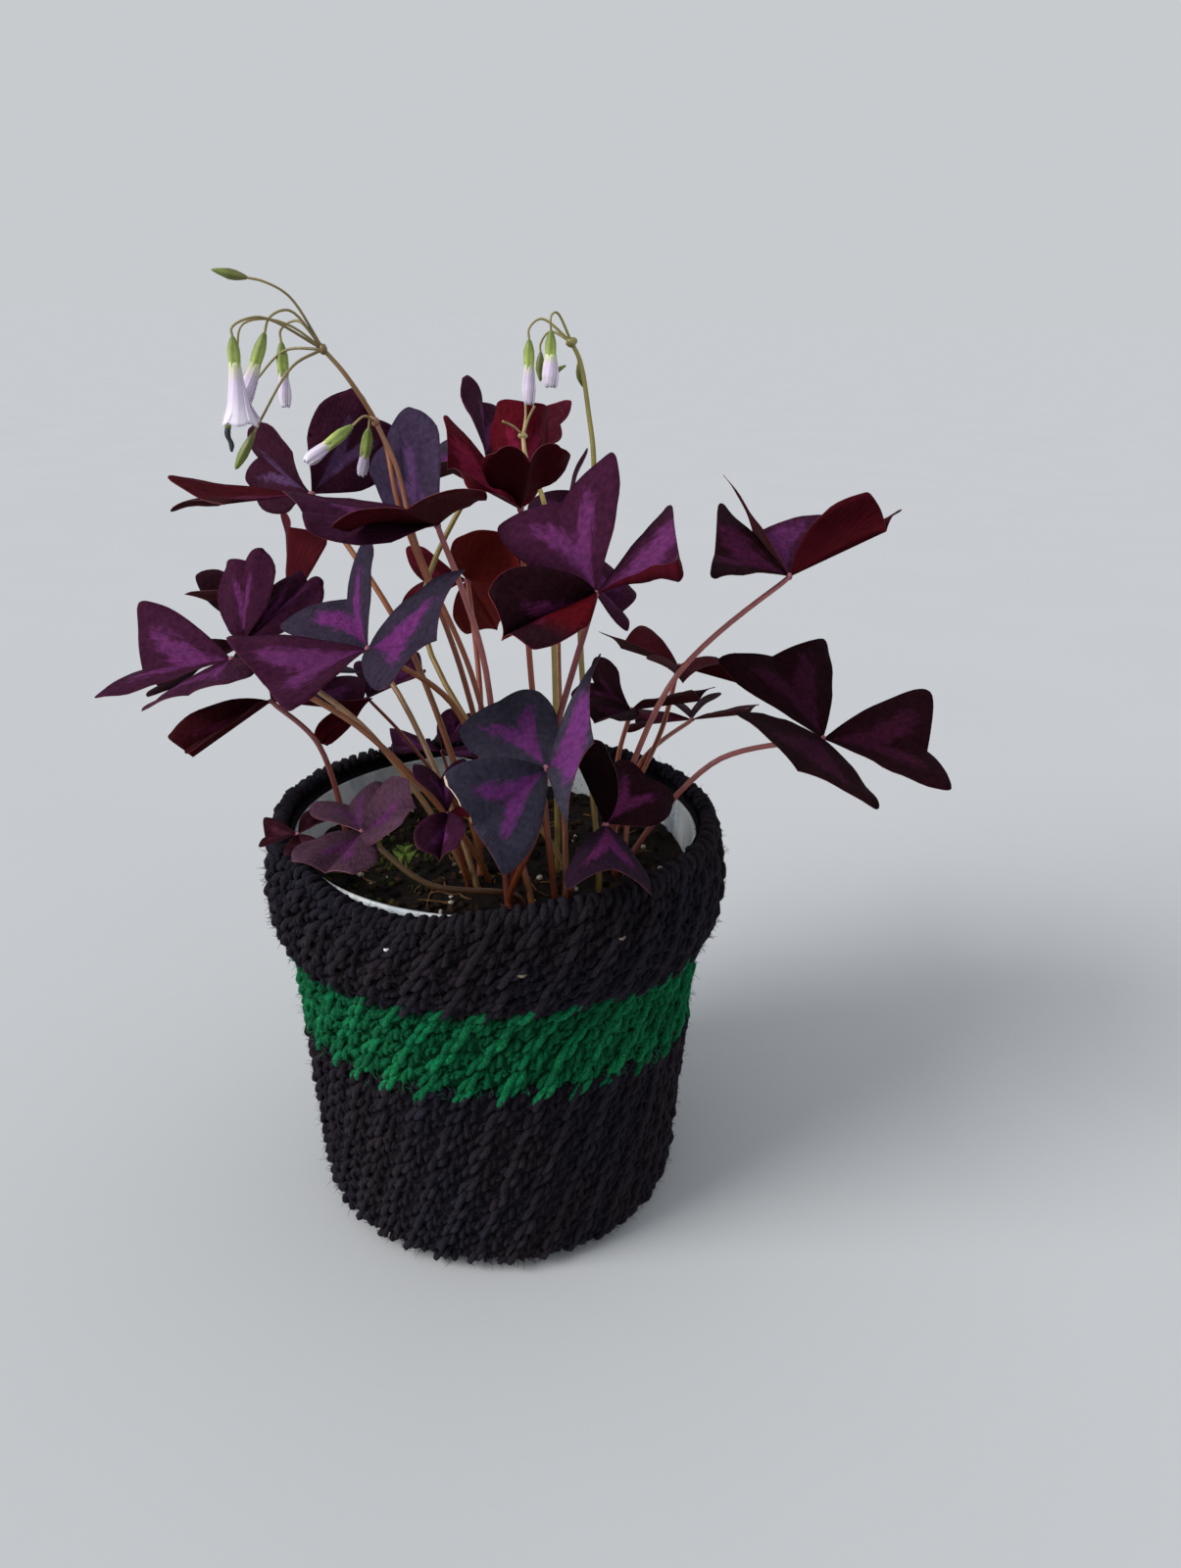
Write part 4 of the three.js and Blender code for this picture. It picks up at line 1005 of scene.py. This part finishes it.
# ---------------------------------------------------------------- stalks of leaves
STALK_RADII = (1.5, 1.2, 1.05, 0.95, 0.85)
YOUNG_STALK_RADII = (1.0, 0.85, 0.75, 0.65, 0.55)
YOUNG_SIDE = 30  # a leaf with a side below this is young


def petiole_points(index, hub, crown, via):
    crown_x, crown_y = CROWNS[crown]
    turn, spread = index * 2.4, 4.5
    x, y = crown_x + spread * math.cos(turn), crown_y + spread * math.sin(turn)
    hub, via = np.array(hub, float), np.array(via, float)
    arriving = unit(hub - via)
    return [
        (crown_x + 0.5 * (x - crown_x), crown_y + 0.5 * (y - crown_y), SOIL_TOP - ROOT_DEPTH),
        (x, y, SOIL_TOP + 2),
        via,
        hub - arriving * (HUB_RADIUS + 2 * CLEARANCE),
        hub - arriving * 0.5,
    ]


def add_blended(shape, points, radii, colours, count, sides):
    """Adds a stem whose colours run from one to the next along it."""
    shares = np.linspace(0, 1, count)
    steps = np.linspace(0, 1, len(colours))
    rows = np.stack([np.interp(shares, steps, channel) for channel in zip(*colours)], 1)
    shape.add(*stem(points, radii, count, sides), tint=np.repeat(rows, sides, 0))


def make_petioles():
    shape = Shape()
    for index, (_, hub, side, crown, via, _, colours) in enumerate(LEAVES):
        radii = YOUNG_STALK_RADII if side < YOUNG_SIDE else STALK_RADII
        foot, tip = (np.array(colour) for colour in colours)
        blend = (foot * 0.7, foot, (foot + tip) / 2, tip, tip)
        add_blended(shape, petiole_points(index, hub, crown, via), radii, blend, 40, 10)
    scaly = [(0, -5), (3, -4.6), (6.5, -3), (8, 0), (6.5, 2.6), (3, 4.2), (0, 5)]
    for x, y in CROWNS:
        points, faces = revolve(scaly, 30)
        turn = np.arctan2(points[:, 0], points[:, 1])
        points[:, :2] *= (1 + 0.1 * np.cos(turn * 6 + points[:, 2] * 1.2))[:, None]
        shape.add(points + (x, y, SOIL_TOP - ROOT_DEPTH), faces, tint=srgb(120, 70, 50))
    for pair in CROWN_CHAIN:
        ends = [(*CROWNS[crown], SOIL_TOP - ROOT_DEPTH) for crown in pair]
        shape.add(*stem(ends, (4, 3.4, 4, 3.5, 4), 16, 12), tint=srgb(128, 78, 56))
    make_piece("leaf_stalks", shape, [STALK], "rhizome_and_leaf_stalks")


make_petioles()


# ---------------------------------------------------------------- leaves
# Half of a leaflet's outline. The outer edge leaves the hub at a wide angle and closes in on the
# corner, (share of the side, share of the way from the corner's turn to the wide angle, share of
# the notch that lies across). The far edge runs from the corner to the notch, (share of the way,
# how far it bows out as a share of the side, share of the notch that lies across).
WIDE_ANGLE = math.radians(46)
OUTER_EDGE = (
    (0.02, 1, 0.01), (0.1, 0.98, 0.08), (0.25, 0.88, 0.22), (0.42, 0.74, 0.4), (0.6, 0.57, 0.56),
    (0.77, 0.39, 0.68), (0.9, 0.18, 0.76), (0.97, 0.03, 0.8))
FAR_EDGE = (
    (0.06, 0.012, 0.84), (0.25, 0.024, 0.88), (0.5, 0.022, 0.93), (0.75, 0.012, 0.97), (1, 0, 1))
EDGE_STATIONS = 28
ACROSS = 8
CURL_FROM = 0.74  # how far across a half its curled margin starts
CURL_TURN = 2.5  # radians that the curled margin turns through


def half_outline(turn):
    """Half a leaflet of side 1: along the midrib, out from it, and the midrib across."""
    notch = 0.93 * math.cos(turn) + 0.02
    rows = []
    for reach, share, across in OUTER_EDGE:
        angle = turn + (WIDE_ANGLE - turn) * share
        rows.append((reach * math.cos(angle), reach * math.sin(angle), across * notch))
    corner = np.array([math.cos(turn), math.sin(turn)])
    edge = (notch, 0) - corner
    bow = np.array([-edge[1], edge[0]]) / np.linalg.norm(edge)
    if bow[0] < 0:
        bow = -bow
    for share, swell, across in FAR_EDGE:
        rows.append((*(corner + edge * share + bow * swell), across * notch))
    along, out, middle = spline(rows, EDGE_STATIONS).T
    return along, np.maximum(out, 0), middle


def leaflet_frame(left, right, sink):
    """The midrib, and for each half its turn from the midrib, the way out and the way up."""
    corners = [unit(np.array(left, float)), unit(np.array(right, float))]
    normal = unit(np.cross(corners[1], corners[0]))
    middle = unit(corners[0] + corners[1])
    sunk = math.radians(sink)
    midrib = middle * math.cos(sunk) - normal * math.sin(sunk)
    halves = []
    for corner in corners:
        turn = math.acos(max(-1, min(1, corner.dot(midrib))))
        away = unit(corner - midrib * corner.dot(midrib))
        upper = unit(np.cross(midrib, away))
        halves.append((turn, away, -upper if upper.dot(normal) < 0 else upper))
    return midrib, halves


def flare_at(turn_share, reach):
    """The bright flare: along the midrib near the hub, then out along an arm in each half."""
    arm = 0.06 + 0.62 * np.clip((reach - 0.15) / 0.65, 0, 1)
    width = np.interp(reach, (0, 0.3, 0.6, 0.85), (0.46, 0.42, 0.3, 0.2))
    inner = np.interp(reach, (0, 0.3, 0.45, 0.65, 0.85), (2.0, 1.2, 0.46, 0.28, 0.22))
    gap = turn_share - arm
    across = np.exp(-((gap / np.where(gap > 0, width, inner)) ** 2))
    return across * np.interp(reach, (0, 0.08, 0.2, 0.6, 0.84, 1), (0.3, 0.75, 1, 0.95, 0.2, 0))


def half_leaflet(hub, side, bend, midrib, half, hand, seed, torn, curled, flushed):
    """A grid of points from the midrib outwards, and the values that its materials need."""
    turn, away, upper = half
    along_share, out_share, mid_share = half_outline(turn)
    run = np.linspace(0, 1, EDGE_STATIONS)
    swell = np.sin(np.pi * run)
    reach = side * (1 + 0.03 * noise_at(run * 5, seed * 3.1 + hand * 7, 0.5) * swell)
    dry_edge = np.zeros(EDGE_STATIONS)
    if torn == hand:
        dry_edge = np.interp(run, (0.5, 0.62, 0.95, 1), (0, 1, 1, 0.4))
        nick = np.abs(noise_at(run * 22, seed * 1.7 + hand * 5, 4.5))
        reach = reach - dry_edge * (1.0 + 2.4 * nick) * side / 46
    mid = (mid_share * side)[:, None]
    along_edge, out_edge = (reach * along_share)[:, None], (reach * out_share)[:, None]
    steps = np.linspace(0, 1, ACROSS)
    rolled, rise = steps, np.zeros(ACROSS)
    if curled == hand:
        past = np.clip((steps - CURL_FROM) / (1 - CURL_FROM), 0, 1) * CURL_TURN
        rolled = np.minimum(steps, CURL_FROM) + (1 - CURL_FROM) * np.sin(past) / CURL_TURN
        rise = (1 - CURL_FROM) * (1 - np.cos(past)) / CURL_TURN
    along = mid + (along_edge - mid) * rolled
    out = out_edge * rolled
    far = np.hypot(along, out) / side
    share = np.arctan2(out, np.maximum(along, 1e-6)) / max(turn, 1e-6)
    pout = out / (side * math.sin(min(turn, math.pi / 2)) + 1e-6)
    arch = bend / 100 * side * 4 * np.clip(pout, 0, 1) * (1 - np.clip(pout, 0, 1))
    droop = -0.02 * side * np.sin(np.pi * np.clip(far, 0, 1)) * np.clip(share, 0, 1) ** 2
    ripple = noise_at(along * 0.09, out * 0.09, seed * 2.3 + hand * 11)
    lift = arch + droop + ripple * 0.035 * side * np.clip(pout * 2, 0, 1) * swell[:, None]
    lift = lift + out_edge * rise
    points = hub + along[..., None] * midrib + out[..., None] * away + lift[..., None] * upper
    leaf_map = np.stack([share * (1 if hand else -1) + seed, far * 0.55 + seed], -1)
    dry = dry_edge[:, None] * np.clip((steps - 0.86) / 0.08, 0, 1)
    red = np.clip((0.8 - far) / 0.2, 0, 1) * (flushed == hand)
    return points, flare_at(share, far), leaf_map, dry, red


def add_leaflet(shape, hub, side, leaflet, seed, torn=None, curled=None, flushed=None, thick=0.36):
    """One leaflet of two halves. torn, curled and flushed each name a half, 0 for left and 1 for
    right: its margin is dry and ragged, rolls up over the face, or the whole half is red."""
    left, right, sink, (margin, glow, under), bend = leaflet
    midrib, halves = leaflet_frame(left, right, sink)
    marks = (torn, curled, flushed)
    grids = [
        half_leaflet(hub, side, bend, midrib, half, hand, seed, *marks)
        for hand, half in enumerate(halves)
    ]
    # one sheet: the left half's columns reversed, then the right half's without the shared midrib
    whole, flare, leaf_map, dry, red = (
        np.concatenate([one[:, ::-1], other[:, 1:]], 1) for one, other in zip(*grids)
    )
    normal = np.cross(np.gradient(whole, axis=1), np.gradient(whole, axis=0))
    normal[-1] = normal[-2]
    normal = unit(normal)
    if (normal * (halves[0][2] + halves[1][2])).sum() < 0:
        normal = -normal
    edge = np.abs(np.linspace(-1, 1, whole.shape[1]))[None, :, None]
    rise = normal * (thick / 2 * (1 - 0.45 * edge**4))
    points, faces = sheet(whole + rise, whole - rise, (0, 3, 2, 1))
    red, dry, flare = (np.tile(value.ravel(), 2)[:, None] for value in (red, dry, flare))
    # The rim's tint, the underside's colour made 1.7 times lighter, is a painted highlight along the
    # edge.
    shape.add(
        points, np.concatenate(faces).tolist(), np.repeat((0, 1, 2), [len(f) for f in faces]),
        margin=toward(margin, FLUSH, red), glow=toward(glow, FLUSH, red), under=under,
        tint=toward(np.array(under) * 1.7 + 0.006, DRY, dry), flare=flare[:, 0], dry=dry[:, 0],
        leaf_map=np.tile(leaf_map.reshape(-1, 2), (2, 1)),
    )


def plain_values(*colour):
    colour = srgb(*colour)
    colours = dict(margin=colour, glow=colour, under=colour, tint=colour)
    return dict(colours, flare=0.0, dry=0.0, leaf_map=np.zeros(2))


def make_leaf(number, name, hub, side, leaflets):
    shape = Shape()
    centre = np.array(hub, float)
    for k, leaflet in enumerate(leaflets):
        seed = number * 0.37 + k * 0.13
        add_leaflet(shape, centre, side, leaflet, seed, **MARKS.get((name, k), {}))
    points, faces = blob(0.8 if side < YOUNG_SIDE else 1.25, 0.12, 2)
    shape.add(points + centre, faces, 1, **plain_values(150, 96, 108))
    make_piece(f"shamrock_{name}", shape, LEAF_MATERIALS, name, weld=WELD / 2)


for number, (name, hub, side, _, _, leaflets, _) in enumerate(LEAVES):
    make_leaf(number, name, hub, side, leaflets)


# ---------------------------------------------------------------- flowers
def turned_along(points, start, along):
    turn = Vector((0, 0, 1)).rotation_difference(Vector(along)).to_matrix()
    return points @ np.array(turn).T + start


def add_calyx(shape, tip, along, length, bud):
    """Five sepals grown together at the foot, ending in five points, or closed over a bud."""
    closed = bud > 0
    end = length + bud
    profile = [(0, -0.6), (0.5, -0.45), (0.8, 0)]
    profile += [(1.3, length * 0.18), (1.75, length * 0.42), (1.85, length * 0.7)]
    if closed:
        profile += [(1.5, length * 0.9), (0.9, length + bud * 0.5), (0.35, end - 0.2), (0, end)]
        profile = [(r * 0.82, z) for r, z in profile]
    else:
        profile += [(1.75, length), (1.6, length + 0.9), (1.3, length + 0.7)]
        profile += [(1.2, length * 0.8), (0, length * 0.8)]
    points, faces = revolve(profile, 40)
    ribs = np.cos(PETALS * np.arctan2(points[:, 0], -points[:, 1]))
    share = np.clip(points[:, 2] / end, 0, 1)
    points[:, :2] *= (1 + 0.09 * ribs * np.sin(np.pi * share))[:, None]
    if not closed:
        points[:, 2] += np.where(share > 0.75, 1.3 * ribs * np.clip((share - 0.75) * 4, 0, 1), 0)
    ends = (DULL, LEAFY) if closed else (LEAFY, LEAFY_PALE)
    tint = toward(*ends, share[:, None]) * (1 - 0.12 * ribs)[:, None]
    shape.add(turned_along(points, tip, along), faces, 1, tint=tint)


# How wide a corolla is along its length, as (share of the length, share of the mouth's radius).
# A flower with a narrow mouth is still furled, and is widest towards the middle.
OPEN_STATIONS = ((0, 0.3), (0.35, 0.42), (0.7, 0.62), (1, 1))
FURLED_STATIONS = ((0, 0.55), (0.3, 0.74), (0.65, 0.84), (0.9, 0.72), (1, 0.5))
FURLED_MOUTH = 4
PETAL_THICKNESS = 0.22
PETAL_LAP = 0.6  # how far the petals start inside the calyx


def add_corolla(shape, start, along, length, mouth):
    """Five petals, each a thin curved blade that laps over the next, in a hanging trumpet."""
    furled = mouth < FURLED_MOUTH
    shares, opens = zip(*(FURLED_STATIONS if furled else OPEN_STATIONS))
    u = np.linspace(0, 1, 16)[:, None]
    w = np.linspace(-1, 1, 11)[None]
    for petal in range(PETALS):
        reach = u * (1 - 0.11 * np.abs(w) ** 2.5 * u**2) + 0.015 * math.sin(petal * 2.1) * u
        half_width = (math.pi / PETALS) * (1.28 - 0.14 * u**4)
        turn = TURN * petal / PETALS + w * half_width + 0.5 * u
        radius = np.maximum(1.25, mouth * np.interp(u, shares, opens))
        radius = radius + 0.28 * w * (0.4 + u) + 0.35 * np.sin(np.pi * 3 * w) * 0.25 * u**2
        if not furled:
            radius = radius + 0.5 * np.sin(2 * w + petal) * u**2
        outward = np.stack([np.cos(turn), np.sin(turn), 0 * turn], -1)
        outer = np.stack([radius * np.cos(turn), radius * np.sin(turn), reach * length], -1)
        points, faces = sheet(outer, outer - outward * PETAL_THICKNESS)
        stripe = 1 - 0.12 * np.exp(-((w[..., None] / 0.12) ** 2))
        tint = toward(LILAC, LILAC_WHITE, u[..., None]) * stripe
        tint = toward(tint, GREENISH, np.clip(1 - u[..., None] * 3, 0, 1)).reshape(-1, 3)
        points = turned_along(points, start, along)
        shape.add(points, np.concatenate(faces).tolist(), tint=np.tile(tint, (2, 1)))


def make_flower_stalk(name, foot, path, flowers, colours):
    shape = Shape()
    through = [(*foot, SOIL_TOP - ROOT_DEPTH), (*foot, SOIL_TOP + ROOT_DEPTH), *path]
    add_blended(shape, through, (1.25, 1.05, 0.9, 0.8, 0.7), colours, 60, 10)
    umbel = np.array(path[-1], float)
    points, faces = blob(1.6, 0.3, 2)
    shape.add(points + umbel, faces, tint=colours[-1])
    corollas = 0
    for route, calyx, bud, corolla, mouth in flowers:
        blend = (colours[-1], srgb(150, 138, 84))
        add_blended(shape, [umbel, *route], (0.5, 0.38, 0.42), blend, 22, 8)
        if not calyx:
            continue
        tip = np.array(route[-1], float)
        along = unit(tip - route[-2])
        add_calyx(shape, tip, along, calyx, bud)
        if corolla:
            corollas += 1
            petals = Shape()
            start = tip + along * (calyx + CLEARANCE - PETAL_LAP)
            add_corolla(petals, start, along, corolla + PETAL_LAP, mouth)
            stands_for = f"{name}_corolla_{corollas}"
            make_piece(f"petals_of_{stands_for}", petals, [PETAL], stands_for)
    make_piece(f"stem_of_{name}", shape, [STALK, CALYX], name)


# Beside the flowers: a withered flower behind the widest one, and a small curled bract under the
# right-hand flowers. Each part is (points, radii, stations, sides, material, colour).
EXTRAS = {
    "withered_flower": (
        (((-53, -10, 319), (-62, -12, 325.5), (-70, -15.5, 327.5), (-76, -17.5, 325.5),
          (-78, -16.5, 318), (-79, -14.5, 307), (-82.5, -14.5, 300)),
         (0.45, 0.34, 0.38), 26, 8, 0, srgb(140, 128, 78)),
        (((-82.4, -14.5, 301), (-83.2, -14.5, 298), (-83.3, -14.6, 295)),
         (0.5, 1.3, 0.9), 12, 10, 1, LEAFY),
        (((-83.3, -14.6, 296), (-83.6, -14.8, 293), (-82.8, -14.4, 290.5), (-82.9, -14.6, 288)),
         (0.85, 1.0, 0.75, 0.9, 0.4), 14, 10, 1, WITHERED)),
    "curled_bract": (
        (((17.6, 11, 312.6), (19, 10.8, 311.6), (21.2, 10.5, 313), (24.2, 10, 314.6)),
         (0.3, 0.9, 1.1, 0.3), 16, 8, 1, LEAFY),),
}

for scape in SCAPES:
    make_flower_stalk(*scape)
for name, parts in EXTRAS.items():
    shape = Shape()
    for *form, material, colour in parts:
        shape.add(*stem(*form), material, tint=colour)
    make_piece(name, shape, [STALK, CALYX])


# ---------------------------------------------------------------- seedlings
def make_seedling(number, x, y, height, radius):
    ground = float(soil_height(x, y))
    hub = np.array([x, y, ground + height])
    shape = Shape()
    path = [(x + 1, y, ground - 2), (x, y + 1, ground + height / 2), hub]
    shape.add(*stem(path, (0.6, 0.45, 0.4), 12, 8), 1, **plain_values(120, 128, 60))
    for i in range(3):
        turns = [TURN * i / 3 + x + aside for aside in (0.8, -0.8)]
        left, right = ((math.cos(t), math.sin(t), 0.1 + 0.55 * math.sin(t)) for t in turns)
        add_leaflet(shape, hub, radius, (left, right, 12, SPROUT, 3), number + i * 0.2, thick=0.3)
    name = f"seedling_{number}"
    make_piece(f"clover_{name}", shape, LEAF_MATERIALS, name, weld=WELD / 2)


for number, seedling in enumerate(SEEDLINGS, 1):
    make_seedling(number, *seedling)


# ---------------------------------------------------------------- floor, light and camera
CAMERA_DISTANCE = 407.0
CAMERA_HEIGHT = 333.0
CAMERA_YAW = math.radians(4.90)
CAMERA_PITCH = math.radians(22.08)
CAMERA_ROLL = math.radians(-1.32)
LENS = 27.0
SENSOR = 36.0  # the long side
FLOOR_REACH = 40  # metres
LIGHT_HEADING = (0.85, 0.35, -0.62)


def make_floor():
    mesh = bpy.data.meshes.new("floor")
    corners = ((-1, -1), (1, -1), (1, 1), (-1, 1))
    places = [(x * FLOOR_REACH, y * FLOOR_REACH, 0) for x, y in corners]
    mesh.from_pydata(places, [], [(0, 1, 2, 3)])
    floor = put_in_scene("floor", mesh)
    paint = Paint("floor", 0.8, Specular_IOR_Level=0.0)
    colour = paint.mixed(paint.noise(6, 3), *shades((193, 195, 198), (197, 199, 202)))
    paint.fill(paint.shader, Base_Color=colour)
    mesh.materials.append(paint.made)


def make_light():
    """A pale sky, and a broad soft light from the left, above the plant."""
    world = bpy.data.worlds.new("studio")
    bpy.context.scene.world = world
    world.use_nodes = True
    background = world.node_tree.nodes["Background"]
    background.inputs["Color"].default_value = (*srgb(220, 224, 228), 1)
    background.inputs["Strength"].default_value = 0.8
    data = bpy.data.lights.new("window", "SUN")
    data.angle = math.radians(32)
    data.energy = 2.7
    data.color = (1.0, 0.985, 0.96)
    lamp = put_in_scene("window", data)
    lamp.rotation_euler = Vector(LIGHT_HEADING).to_track_quat("-Z", "Y").to_euler()


def make_camera():
    data = bpy.data.cameras.new("camera")
    data.lens = LENS
    data.sensor_width = SENSOR
    data.clip_start = 0.01
    camera = put_in_scene("camera", data)
    yaw, pitch, roll = CAMERA_YAW, CAMERA_PITCH, CAMERA_ROLL
    ahead = math.cos(pitch)
    forward = Vector((math.sin(yaw) * ahead, math.cos(yaw) * ahead, -math.sin(pitch)))
    right = Vector((math.cos(yaw), -math.sin(yaw), 0))
    down = forward.cross(right)
    level = math.cos(roll) * right + math.sin(roll) * down
    sunk = -math.sin(roll) * right + math.cos(roll) * down
    turn = Matrix((level, -sunk, -forward)).transposed()
    place = Matrix.Translation((0, -CAMERA_DISTANCE * MM, CAMERA_HEIGHT * MM))
    camera.matrix_world = place @ turn.to_4x4()
    bpy.context.scene.camera = camera


make_floor()
make_light()
make_camera()
bpy.context.scene.view_settings.view_transform = "Standard"
